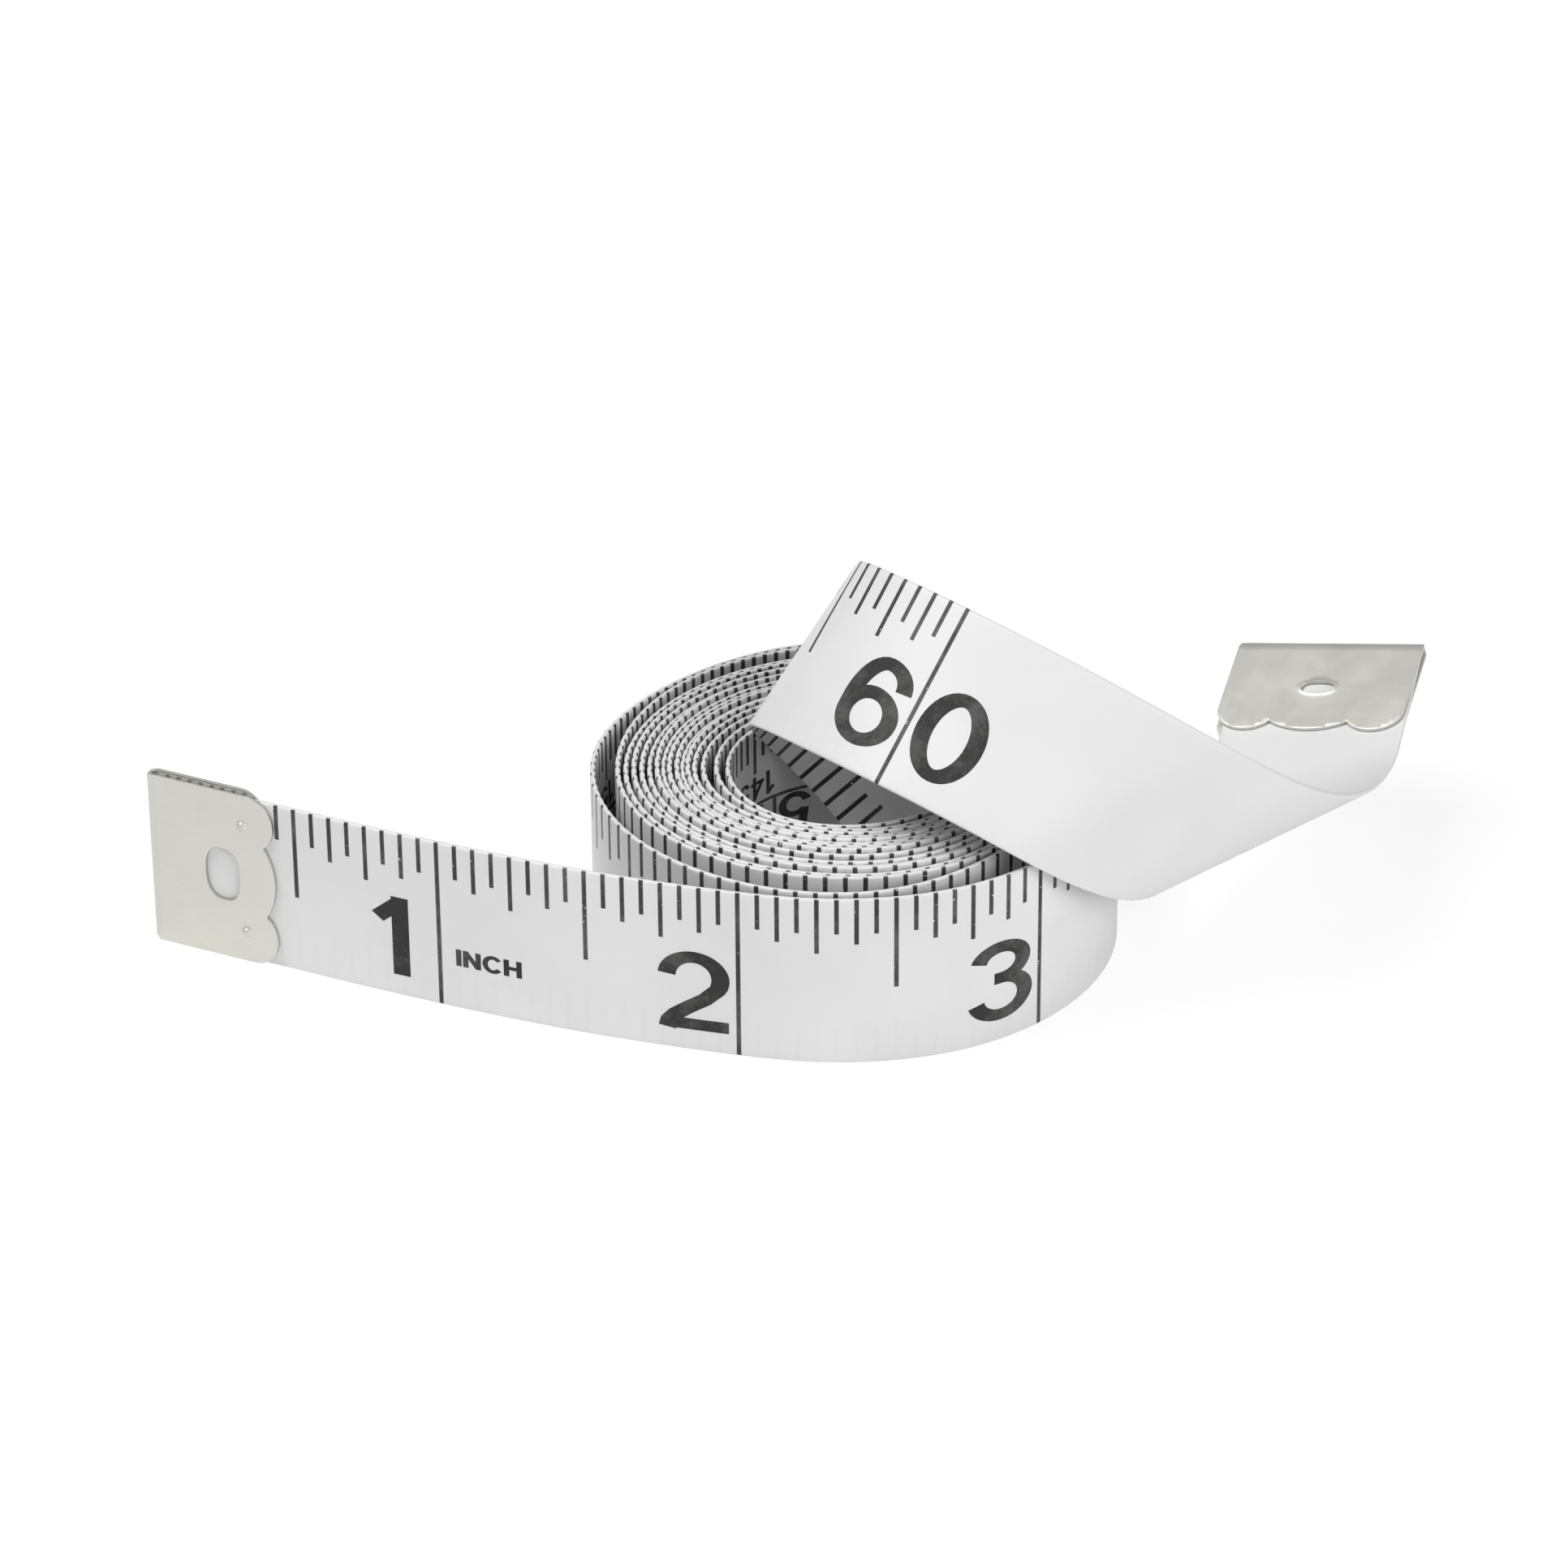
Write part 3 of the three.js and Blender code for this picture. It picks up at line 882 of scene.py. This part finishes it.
RIGHT, MIDDLE = NUMERAL_CELL - PEN_X, NUMERAL_CELL / 2
TOP, BOTTOM = NUMERAL_HEIGHT - PEN_Y, PEN_Y
WAIST = 4.1
BOWL_X = RIGHT - MIDDLE
UPPER_Y = (TOP + WAIST) / 2
UPPER_R = (TOP - WAIST) / 2
LOWER_Y = (WAIST + BOTTOM) / 2
LOWER_R = (WAIST - BOTTOM) / 2
SIX_WAIST = 4.5
SIX_Y = (SIX_WAIST + BOTTOM) / 2
SIX_R = (SIX_WAIST - BOTTOM) / 2
HALF = NUMERAL_HEIGHT / 2
# The six's arm ends level at one height and begins its long side at another
ARM_END = 5.3
ARM_SIDE = 3.3
SIX = [
    arc(MIDDLE, ARM_END, BOWL_X - 0.05, TOP - ARM_END, 0, 90)[:-1]
    + arc(MIDDLE, ARM_SIDE, BOWL_X, TOP - ARM_SIDE, 90, 180)
    + [(MIDDLE - BOWL_X, SIX_Y)],
    arc(MIDDLE, SIX_Y, BOWL_X, SIX_R, 0, 360),
]

# Each glyph's cell width and its strokes
GLYPHS = {
    "0": (NUMERAL_CELL, [arc(MIDDLE, HALF, BOWL_X, HALF - PEN_Y, 0, 360)]),
    "1": (4.0, [stem(3.15), [(3.0, 7.05), (1.2, 5.4)]]),
    "2": (
        NUMERAL_CELL,
        [
            arc(MIDDLE, 5.1, BOWL_X, TOP - 5.1, 176, -28)
            + [(3.8, 3.1), (2.5, 2.2), (1.4, 1.35), (0.9, 0.7), (0.73, 0)],
            [(0.5, BOTTOM), (5.7, BOTTOM)],
        ],
    ),
    "3": (
        NUMERAL_CELL,
        [
            arc(MIDDLE - 0.1, UPPER_Y, BOWL_X - 0.15, UPPER_R, 168, -90),
            [(2.2, WAIST), (3.0, WAIST)],
            arc(MIDDLE - 0.1, LOWER_Y, BOWL_X + 0.05, LOWER_R, 90, -168),
        ],
    ),
    "4": (NUMERAL_CELL, [stem(4.1), [(0.1, 2.2), (5.7, 2.2)], [(4.3, 7.15), (0.75, 2.1)]]),
    "5": (
        NUMERAL_CELL,
        [
            [(1.1, TOP), (5.3, TOP)],
            [(1.55, TOP), (1.15, 3.7)],
            arc(MIDDLE - 0.05, 2.6, BOWL_X, 2.6 - BOTTOM, 142, -165),
        ],
    ),
    "6": (NUMERAL_CELL, SIX),
    "7": (NUMERAL_CELL, [[(0.2, TOP), (5.6, TOP)], [(4.9, TOP), (3.6, 4.7), (2.7, 2.4), (2.3, 0)]]),
    "8": (
        NUMERAL_CELL,
        [arc(MIDDLE, UPPER_Y, BOWL_X - 0.2, UPPER_R, 0, 360), arc(MIDDLE, LOWER_Y, BOWL_X, LOWER_R, 0, 360)],
    ),
    "9": (NUMERAL_CELL, [[(NUMERAL_CELL - x, NUMERAL_HEIGHT - y) for x, y in stroke] for stroke in SIX]),
    "I": (1.8, [stem(0.9)]),
    "N": (6.2, [stem(0.9), stem(5.3), [(0.9, 7.3), (5.3, 0.3)]]),
    "C": (6.8, [arc(3.6, HALF, 2.7, HALF - PEN_Y, 38, 322)]),
    "H": (6.2, [stem(0.9), stem(5.3), [(0.9, HALF), (5.3, HALF)]]),
}


def stroke_object(points, pen):
    """A closed prism along a stroke, as wide as the pen."""
    line = np.array(points, float)
    ring = np.allclose(line[0], line[-1])
    tangents = np.gradient(line, axis=0)
    if ring:
        tangents[0] = tangents[-1] = line[1] - line[-2]
    tangents /= np.linalg.norm(tangents, axis=1)[:, None]
    sideways = np.stack([-tangents[:, 1] * pen[0], tangents[:, 0] * pen[1]], 1)
    last = len(line) - 1
    bm = bmesh.new()
    bmesh.ops.create_grid(bm, x_segments=last, y_segments=1, size=1)
    for vert in bm.verts:
        at = round((vert.co.x + 1) / 2 * last)
        place = line[at] + sideways[at] * vert.co.y
        vert.co = (place[0], place[1], 0)
    bmesh.ops.remove_doubles(bm, verts=bm.verts, dist=WELD_DISTANCE)
    lifted = bmesh.ops.extrude_face_region(bm, geom=bm.faces[:], use_keep_orig=True)
    raised = [item for item in lifted["geom"] if isinstance(item, bmesh.types.BMVert)]
    bmesh.ops.translate(bm, verts=raised, vec=(0, 0, 1))
    bmesh.ops.recalc_face_normals(bm, faces=bm.faces)
    return to_object(bm, "stroke", [])


def glyph_mesh(strokes, pen):
    """The strokes of a glyph joined into one flat solid, one high."""
    objects = [stroke_object(points, pen) for points in strokes]
    first = objects[0]
    for other in objects[1:]:
        join = first.modifiers.new("Join", "BOOLEAN")
        join.operation = "UNION"
        join.solver = "EXACT"
        join.object = other
    mesh = final_mesh(first)
    for obj in objects:
        bpy.data.objects.remove(obj)
    return mesh


def sliced(bm, axis, low, high, cell):
    """Cuts a mesh square to an axis at even cells, so that it can bend."""
    for place in np.arange(math.ceil(low / cell) * cell, high, cell):
        normal = Vector((0, 0, 0))
        normal[axis] = 1
        whole = bm.verts[:] + bm.edges[:] + bm.faces[:]
        bmesh.ops.bisect_plane(
            bm, geom=whole, dist=SLICE_DISTANCE, plane_co=normal * place, plane_no=normal
        )


# The glyphs' flat meshes, made before the printing starts
GLYPH_MESHES = {}


class Inscriptions:
    """Numbers to be printed on one length of ribbon."""

    def __init__(self, low, high, slanted, thickness):
        self.low = low
        self.high = high
        self.slanted = slanted
        self.thickness = thickness
        self.bm = bmesh.new()
        self.glyphs = {}

    def glyph(self, letter, size):
        """The glyph's mesh, scaled to a share of its cell each way, and sliced to follow the ribbon."""
        key = (letter, size)
        if key not in self.glyphs:
            mesh = GLYPH_MESHES[letter].copy()
            bm = bmesh.new()
            bm.from_mesh(mesh)
            bmesh.ops.scale(bm, verts=bm.verts, vec=(*size, 1))
            sliced(bm, 0, 0, GLYPHS[letter][0] * size[0], INK_CELL)
            if self.slanted:
                sliced(bm, 1, 0, NUMERAL_HEIGHT * size[1], INK_CELL)
            bm.to_mesh(mesh)
            bm.free()
            self.glyphs[key] = mesh
        return self.glyphs[key]

    def put(self, letter, size, place, below, back):
        """Prints a glyph from a place on, its top, or its foot on the other face, so far below the edge."""
        width = GLYPHS[letter][0] * size[0]
        if place < self.low or place + width > self.high:
            return
        first = len(self.bm.verts)
        self.bm.from_mesh(self.glyph(letter, size))
        self.bm.verts.ensure_lookup_table()
        verts = self.bm.verts[first:]
        flat = np.array([vert.co for vert in verts])
        side = -1 if back else 1
        lifts = side * (self.thickness / 2 + np.where(flat[:, 2] > 0.5, INK_PROUD, -INK_SUNK))
        foot = below if back else below + NUMERAL_HEIGHT * size[1]
        rises = TAPE_WIDTH / 2 - foot + side * flat[:, 1]
        for vert, point in zip(verts, ROUTE.surface(place + flat[:, 0], rises, lifts) * MM):
            vert.co = point

    def text(self, letters, size, left, below, back):
        place = left
        for letter in letters:
            self.put(letter, size, place, below, back)
            place += (GLYPHS[letter][0] + GLYPH_GAP) * size[0]

    def astride(self, figures, size, line, below, back):
        """One figure before its line, or two figures astride it."""
        gap = (NUMERAL_GAP if len(figures) == 1 else PAIR_GAP) * size[0]
        self.put(figures[0], size, line - gap - NUMERAL_CELL * size[0], below, back)
        if len(figures) > 1:
            self.put(figures[1], size, line + gap, below, back)


def text_width(letters, size):
    return (sum(GLYPHS[letter][0] for letter in letters) + GLYPH_GAP * (len(letters) - 1)) * size[0]


def print_inches(sheet):
    """Large numbers on the inch face."""
    for inch in range(FIRST_INCH, LAST_INCH + 1):
        sheet.astride(str(inch), NUMERAL_SIZE, inch * INCH, NUMERAL_BELOW, False)
    sheet.text("INCH", UNIT_SIZE, INCH + UNIT_AFTER, UNIT_BELOW, False)


def print_back(sheet):
    """The other face, read with the ribbon turned over: inches on one edge, centimetres on the other."""
    for inch in range(FIRST_INCH, LAST_INCH + 1):
        sheet.astride(str(inch), BACK_NUMERAL_SIZE, inch * INCH, BACK_NUMERAL_BELOW, True)
    for centimetre in range(1, LAST_CM + 1):
        figures = str(centimetre)
        left = centimetre * CM - text_width(figures, CM_NUMERAL_SIZE) / 2
        sheet.text(figures, CM_NUMERAL_SIZE, left, CM_NUMERAL_BELOW, True)


# Clips


def scallops(reach, side):
    """One end of the metal strip: a wide scallop between two that round into the sides."""
    outer = SCALLOP_SHARE * 2 * side
    dip = math.degrees(math.asin(outer / SCALLOP_ROUND - 1))
    depth = SCALLOP_RUN * (1 - math.cos(math.radians(dip)))
    half = side - outer
    radius = (half * half + depth * depth) / (2 * depth)
    spread = math.degrees(math.asin(half / radius))
    ends = (90, 180 + dip, SCALLOP_ARC_STEP)
    corner = arc(SCALLOP_RUN - reach, side - SCALLOP_ROUND, SCALLOP_RUN, SCALLOP_ROUND, *ends)
    middle = arc(radius - reach, 0, radius, radius, 180 - spread, 180 + spread, SCALLOP_ARC_STEP)
    return corner + middle[1:-1] + [(x, -y) for x, y in reversed(corner)]


def squared(share):
    return math.copysign(abs(share) ** (2 / WINDOW_SQUARENESS), share)


def window(middle_x, size):
    """A window's outline, squarer than an ellipse."""
    angles = np.linspace(0, 2 * math.pi, WINDOW_STEPS, endpoint=False)
    half_x, half_y = size[0] / 2, size[1] / 2
    return [(middle_x + half_x * squared(math.cos(a)), half_y * squared(math.sin(a))) for a in angles]


def flat_strip(width):
    """The unfolded strip as a flat mesh with both windows, sliced so that it can fold and dish."""
    fold = math.pi * (CLIP_SLOT + CLIP_METAL / 2)
    outline = scallops(FACE_REACH, width / 2)
    outline += [(fold - x, y) for x, y in reversed(scallops(BACK_REACH, width / 2))]
    curve = bpy.data.curves.new("strip", "CURVE")
    curve.dimensions = "2D"
    curve.fill_mode = "FRONT"
    windows = (window(-FACE_WINDOW_REACH, FACE_WINDOW), window(fold + BACK_WINDOW_REACH, BACK_WINDOW))
    for loop in (outline, *windows):
        spline = curve.splines.new("POLY")
        spline.points.add(len(loop) - 1)
        for point, (x, y) in zip(spline.points, loop):
            point.co = (x, y, 0, 1)
        spline.use_cyclic_u = True
    obj = add_object("strip", curve)
    mesh = final_mesh(obj)
    bpy.data.objects.remove(obj)
    bm = bmesh.new()
    bm.from_mesh(mesh)
    bmesh.ops.remove_doubles(bm, verts=bm.verts, dist=WELD_DISTANCE)
    bmesh.ops.dissolve_limit(bm, angle_limit=FLAT_ANGLE, verts=bm.verts, edges=bm.edges)
    sliced(bm, 0, -FACE_REACH, fold + BACK_REACH, CLIP_CELL)
    sliced(bm, 1, -width / 2, width / 2, CLIP_CELL)
    lip_x, lip_y = (size / 2 + LIP_REACH for size in BACK_WINDOW)
    for axis, middle, reach, cell in (
        (0, -PRONG_REACH, PRONG_RADIUS, PRONG_CELL),
        (0, fold + BACK_WINDOW_REACH, lip_x, LIP_CELL),
        (1, 0, lip_y, LIP_CELL),
        (1, -PRONG_SPREAD, PRONG_RADIUS, PRONG_CELL),
        (1, PRONG_SPREAD, PRONG_RADIUS, PRONG_CELL),
    ):
        sliced(bm, axis, middle - reach, middle + reach, cell)
    return bm, fold


def swell(distance, height, reach):
    """A round bump that falls to nothing at its reach."""
    share = max(0, 1 - distance / reach)
    return height * share * share * (3 - 2 * share)


def prong_push(x, z):
    """How far the two prongs stand out of the face with the large window, X being inwards from the fold."""
    distances = [math.hypot(x - PRONG_REACH, z - side) for side in (-PRONG_SPREAD, PRONG_SPREAD)]
    return sum(swell(distance, PRONG_HEIGHT, PRONG_RADIUS) for distance in distances)


def lip_push(x, z):
    """How far the metal is drawn out round the small window."""
    across_x = abs(x - BACK_WINDOW_REACH) / (BACK_WINDOW[0] / 2)
    across_z = abs(z) / (BACK_WINDOW[1] / 2)
    reached = (across_x**WINDOW_SQUARENESS + across_z**WINDOW_SQUARENESS) ** (1 / WINDOW_SQUARENESS)
    outside = max(0, 1 - 1 / max(reached, 1)) * math.hypot(x - BACK_WINDOW_REACH, z)
    return swell(outside, LIP_HEIGHT, LIP_REACH)


def corner_limit(reach_x, width, outer):
    """Half the clip's width at a reach towards its fold, where the corners are rounded."""
    past = max(0, reach_x - (outer - CLIP_CORNER))
    return width / 2 - CLIP_CORNER + math.sqrt(max(0, CLIP_CORNER**2 - past**2))


def clip_mesh(name, place, face_side, metal, materials):
    """One folded clip, with its large window and its prongs on the side that is asked for."""
    width = TAPE_WIDTH + CLIP_OVERHANG
    bm, fold = flat_strip(width)
    radius = CLIP_SLOT + CLIP_METAL / 2
    outer = CLIP_SLOT + CLIP_METAL
    sheet = bm.loops.layers.uv.new("Metal")
    for face in bm.faces:
        face.smooth = True
        for loop in face.loops:
            loop[sheet].uv = loop.vert.co.xy
    for vert in bm.verts:
        x, z = vert.co.x, vert.co.y
        if x <= 0:
            point = Vector((x, radius + prong_push(-x, z), z))
        elif x < fold:
            angle = x / radius
            point = Vector((radius * math.sin(angle), radius * math.cos(angle), z))
        else:
            point = Vector((fold - x, -radius - lip_push(x - fold, z), z))
        limit = corner_limit(point.x, width, outer)
        point.z *= limit / (width / 2)
        point.y *= face_side
        vert.co = place @ point * MM
    bmesh.ops.recalc_face_normals(bm, faces=bm.faces)
    made = to_object(bm, name, materials)
    wall = made.modifiers.new("Metal", "SOLIDIFY")
    wall.thickness = metal
    wall.offset = 0
    wall.use_even_offset = True
    edge = made.modifiers.new("Edges", "BEVEL")
    edge.width = METAL_EDGE * MM
    edge.segments = METAL_EDGE_SEGMENTS
    edge.limit_method = "ANGLE"
    edge.angle_limit = math.radians(METAL_EDGE_ANGLE)
    return made


# Operators


class TAPEMEASURE_OT_ribbon(Operator):
    """Lay the ribbon along its route, one length for each part that moves by itself"""

    bl_idname = "tape_measure.ribbon"
    bl_label = "Wind ribbon"

    def execute(self, context):
        settings = context.scene.ribbon_settings
        materials = [
            cloth_material("inch_face", settings, inch_face_marks),
            cloth_material("back_face", settings, back_face_marks),
            cloth_material("cut_edge", settings, None),
        ]
        for name, node, low, high, step, bodies, bend_place in LENGTHS:
            rows = COIL_ROWS if step == COIL_STEP else FREE_ROWS
            made = ribbon_mesh(name, low, high, step, rows, settings, materials)
            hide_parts(node)
            attach(made, bodies, bend_place)
        return {"FINISHED"}


class TAPEMEASURE_OT_numerals(Operator):
    """Print the numbers on both faces of the ribbon"""

    bl_idname = "tape_measure.numerals"
    bl_label = "Print numbers"

    def execute(self, context):
        settings = context.scene.ribbon_settings
        ink = ink_material("ink", settings)
        for letter, (_, strokes) in GLYPHS.items():
            pen = LETTER_PEN if letter.isalpha() else (PEN_X, PEN_Y)
            GLYPH_MESHES[letter] = glyph_mesh(strokes, pen)
        for name, _, low, high, step, bodies, bend_place in LENGTHS:
            sheet = Inscriptions(low, high, step != COIL_STEP, settings.thickness / MM)
            print_inches(sheet)
            print_back(sheet)
            if not sheet.bm.verts:
                sheet.bm.free()
                continue
            made = to_object(sheet.bm, name.replace("ribbon", "numerals"), [ink])
            attach(made, bodies, bend_place)
        return {"FINISHED"}


class TAPEMEASURE_OT_clips(Operator):
    """Fold a metal clip over each end of the ribbon"""

    bl_idname = "tape_measure.clips"
    bl_label = "Fold clips"

    def execute(self, context):
        settings = context.scene.clip_settings
        tinned = clip_material("clip_metal", settings)
        start = ROUTE.end_frame(0, -1) @ Matrix.Translation((0, 0, CLIP_OVERHANG / 2))
        turn = Matrix.Rotation(math.radians(END_CLIP_TURN), 4, "Y")
        askew = turn @ Matrix.Translation((END_CLIP_SHIFT, 0, 0))
        end = ROUTE.end_frame(ROUTE.length, 1) @ askew
        for name, node, body, place, side in (
            ("clip_at_zero", "start_clip", "lead", start, 1),
            ("clip_at_end", "end_clip", "end", end, -1),
        ):
            made = clip_mesh(name, place, side, settings.metal, [tinned])
            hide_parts(node)
            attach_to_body(made, body)
        return {"FINISHED"}


def area_lamp(name, size, power, place, target):
    lamp = bpy.data.lights.new(name, "AREA")
    lamp.shape = "RECTANGLE"
    lamp.size, lamp.size_y = size
    lamp.energy = power
    made = add_object(name, lamp)
    made.location = place
    made.rotation_euler = (Vector(target) - Vector(place)).to_track_quat("-Z", "Y").to_euler()


def photo_camera():
    """The camera that looks at the object as the photograph does."""
    tilt = math.radians(CAMERA_ELEVATION)
    roll = math.radians(CAMERA_ROLL)
    forward = Vector((0, math.cos(tilt), -math.sin(tilt)))
    level = Vector((1, 0, 0))
    upright = level.cross(forward)
    right = level * math.cos(roll) + upright * math.sin(roll)
    above = upright * math.cos(roll) - level * math.sin(roll)
    data = bpy.data.cameras.new("camera")
    data.sensor_width = SENSOR
    data.lens = SENSOR * CAMERA_FOCAL_PX / PHOTO_SIDE_PX
    data.clip_end = CAMERA_SIGHT_METRES
    made = add_object("camera", data)
    turned = Matrix((right, above, -forward)).transposed().to_4x4()
    turned.translation = (Vector(CAMERA_TARGET) - forward * CAMERA_DISTANCE) * MM
    made.matrix_world = turned
    bpy.context.scene.camera = made


def floor_material(settings):
    """A pale floor that the camera and reflections see as white, with the object's shadow kept."""
    material, w, shader = new_material("floor", FLOOR_SHADER)
    shader.inputs["Base Color"].default_value = tuple(settings.floor_colour)
    glow = w.node("ShaderNodeEmission")
    glow.inputs["Strength"].default_value = FLOOR_GLOW_STRENGTH
    paths = w.node("ShaderNodeLightPath")
    seen = w.math("MAXIMUM", paths.outputs["Is Camera Ray"], paths.outputs["Is Transmission Ray"])
    mirrored = w.math("MULTIPLY", paths.outputs["Is Glossy Ray"], FLOOR_GLOW_MIRRORED)
    blend = w.node("ShaderNodeMixShader")
    w.feed(blend.inputs[0], w.math("MAXIMUM", w.math("MULTIPLY", seen, FLOOR_GLOW), mirrored))
    w.feed(blend.inputs[1], shader.outputs[0])
    w.feed(blend.inputs[2], glow.outputs[0])
    output = material.node_tree.nodes["Material Output"]
    w.feed(output.inputs["Surface"], blend.outputs[0])
    return material


class TAPEMEASURE_OT_stage(Operator):
    """Set the floor, the soft lights and the camera"""

    bl_idname = "tape_measure.stage"
    bl_label = "Set stage"

    def execute(self, context):
        settings = context.scene.stage_settings
        bm = bmesh.new()
        bmesh.ops.create_grid(bm, x_segments=1, y_segments=1, size=FLOOR_SIZE)
        floor = to_object(bm, "floor", [floor_material(settings)])
        world = bpy.data.worlds.new("studio")
        world.use_nodes = True
        background = world.node_tree.nodes["Background"]
        background.inputs["Color"].default_value = (1, 1, 1, 1)
        w = Wiring(world.node_tree)
        paths = w.node("ShaderNodeLightPath")
        mirrored = w.math("MULTIPLY", paths.outputs["Is Glossy Ray"], SURROUND_MIRRORED)
        seen = w.math("MAXIMUM", paths.outputs["Is Camera Ray"], mirrored)
        w.feed(background.inputs["Strength"], w.math("MAXIMUM", seen, SURROUND))
        context.scene.world = world
        for name, (size, share, place) in LAMPS.items():
            area_lamp(name, size, settings.key_power * share, place, LAMP_TARGET)
        photo_camera()
        context.scene.view_settings.view_transform = "Standard"
        return {"FINISHED"}


class TAPEMEASURE_PT_sidebar(Panel):
    """The tape measure's pieces and settings"""

    bl_idname = "TAPEMEASURE_PT_sidebar"
    bl_label = "Tape Measure"
    bl_space_type = "VIEW_3D"
    bl_region_type = "UI"
    bl_category = "Tape Measure"

    def draw(self, context):
        layout = self.layout
        for owner in ("ribbon_settings", "clip_settings", "stage_settings"):
            settings = getattr(context.scene, owner)
            for key in settings.__annotations__:
                layout.prop(settings, key)
        for operator in OPERATORS:
            layout.operator(operator.bl_idname)


OPERATORS = (TAPEMEASURE_OT_stage, TAPEMEASURE_OT_ribbon, TAPEMEASURE_OT_numerals, TAPEMEASURE_OT_clips)
CLASSES = (RibbonSettings, ClipSettings, StageSettings, *OPERATORS, TAPEMEASURE_PT_sidebar)


def register():
    for cls in CLASSES:
        bpy.utils.register_class(cls)
    bpy.types.Scene.ribbon_settings = PointerProperty(type=RibbonSettings)
    bpy.types.Scene.clip_settings = PointerProperty(type=ClipSettings)
    bpy.types.Scene.stage_settings = PointerProperty(type=StageSettings)


def unregister():
    del bpy.types.Scene.stage_settings
    del bpy.types.Scene.clip_settings
    del bpy.types.Scene.ribbon_settings
    for cls in reversed(CLASSES):
        bpy.utils.unregister_class(cls)


def main():
    register()
    bpy.ops.tape_measure.stage()
    bpy.ops.tape_measure.ribbon()
    bpy.ops.tape_measure.numerals()
    bpy.ops.tape_measure.clips()


if __name__ == "__main__":
    main()
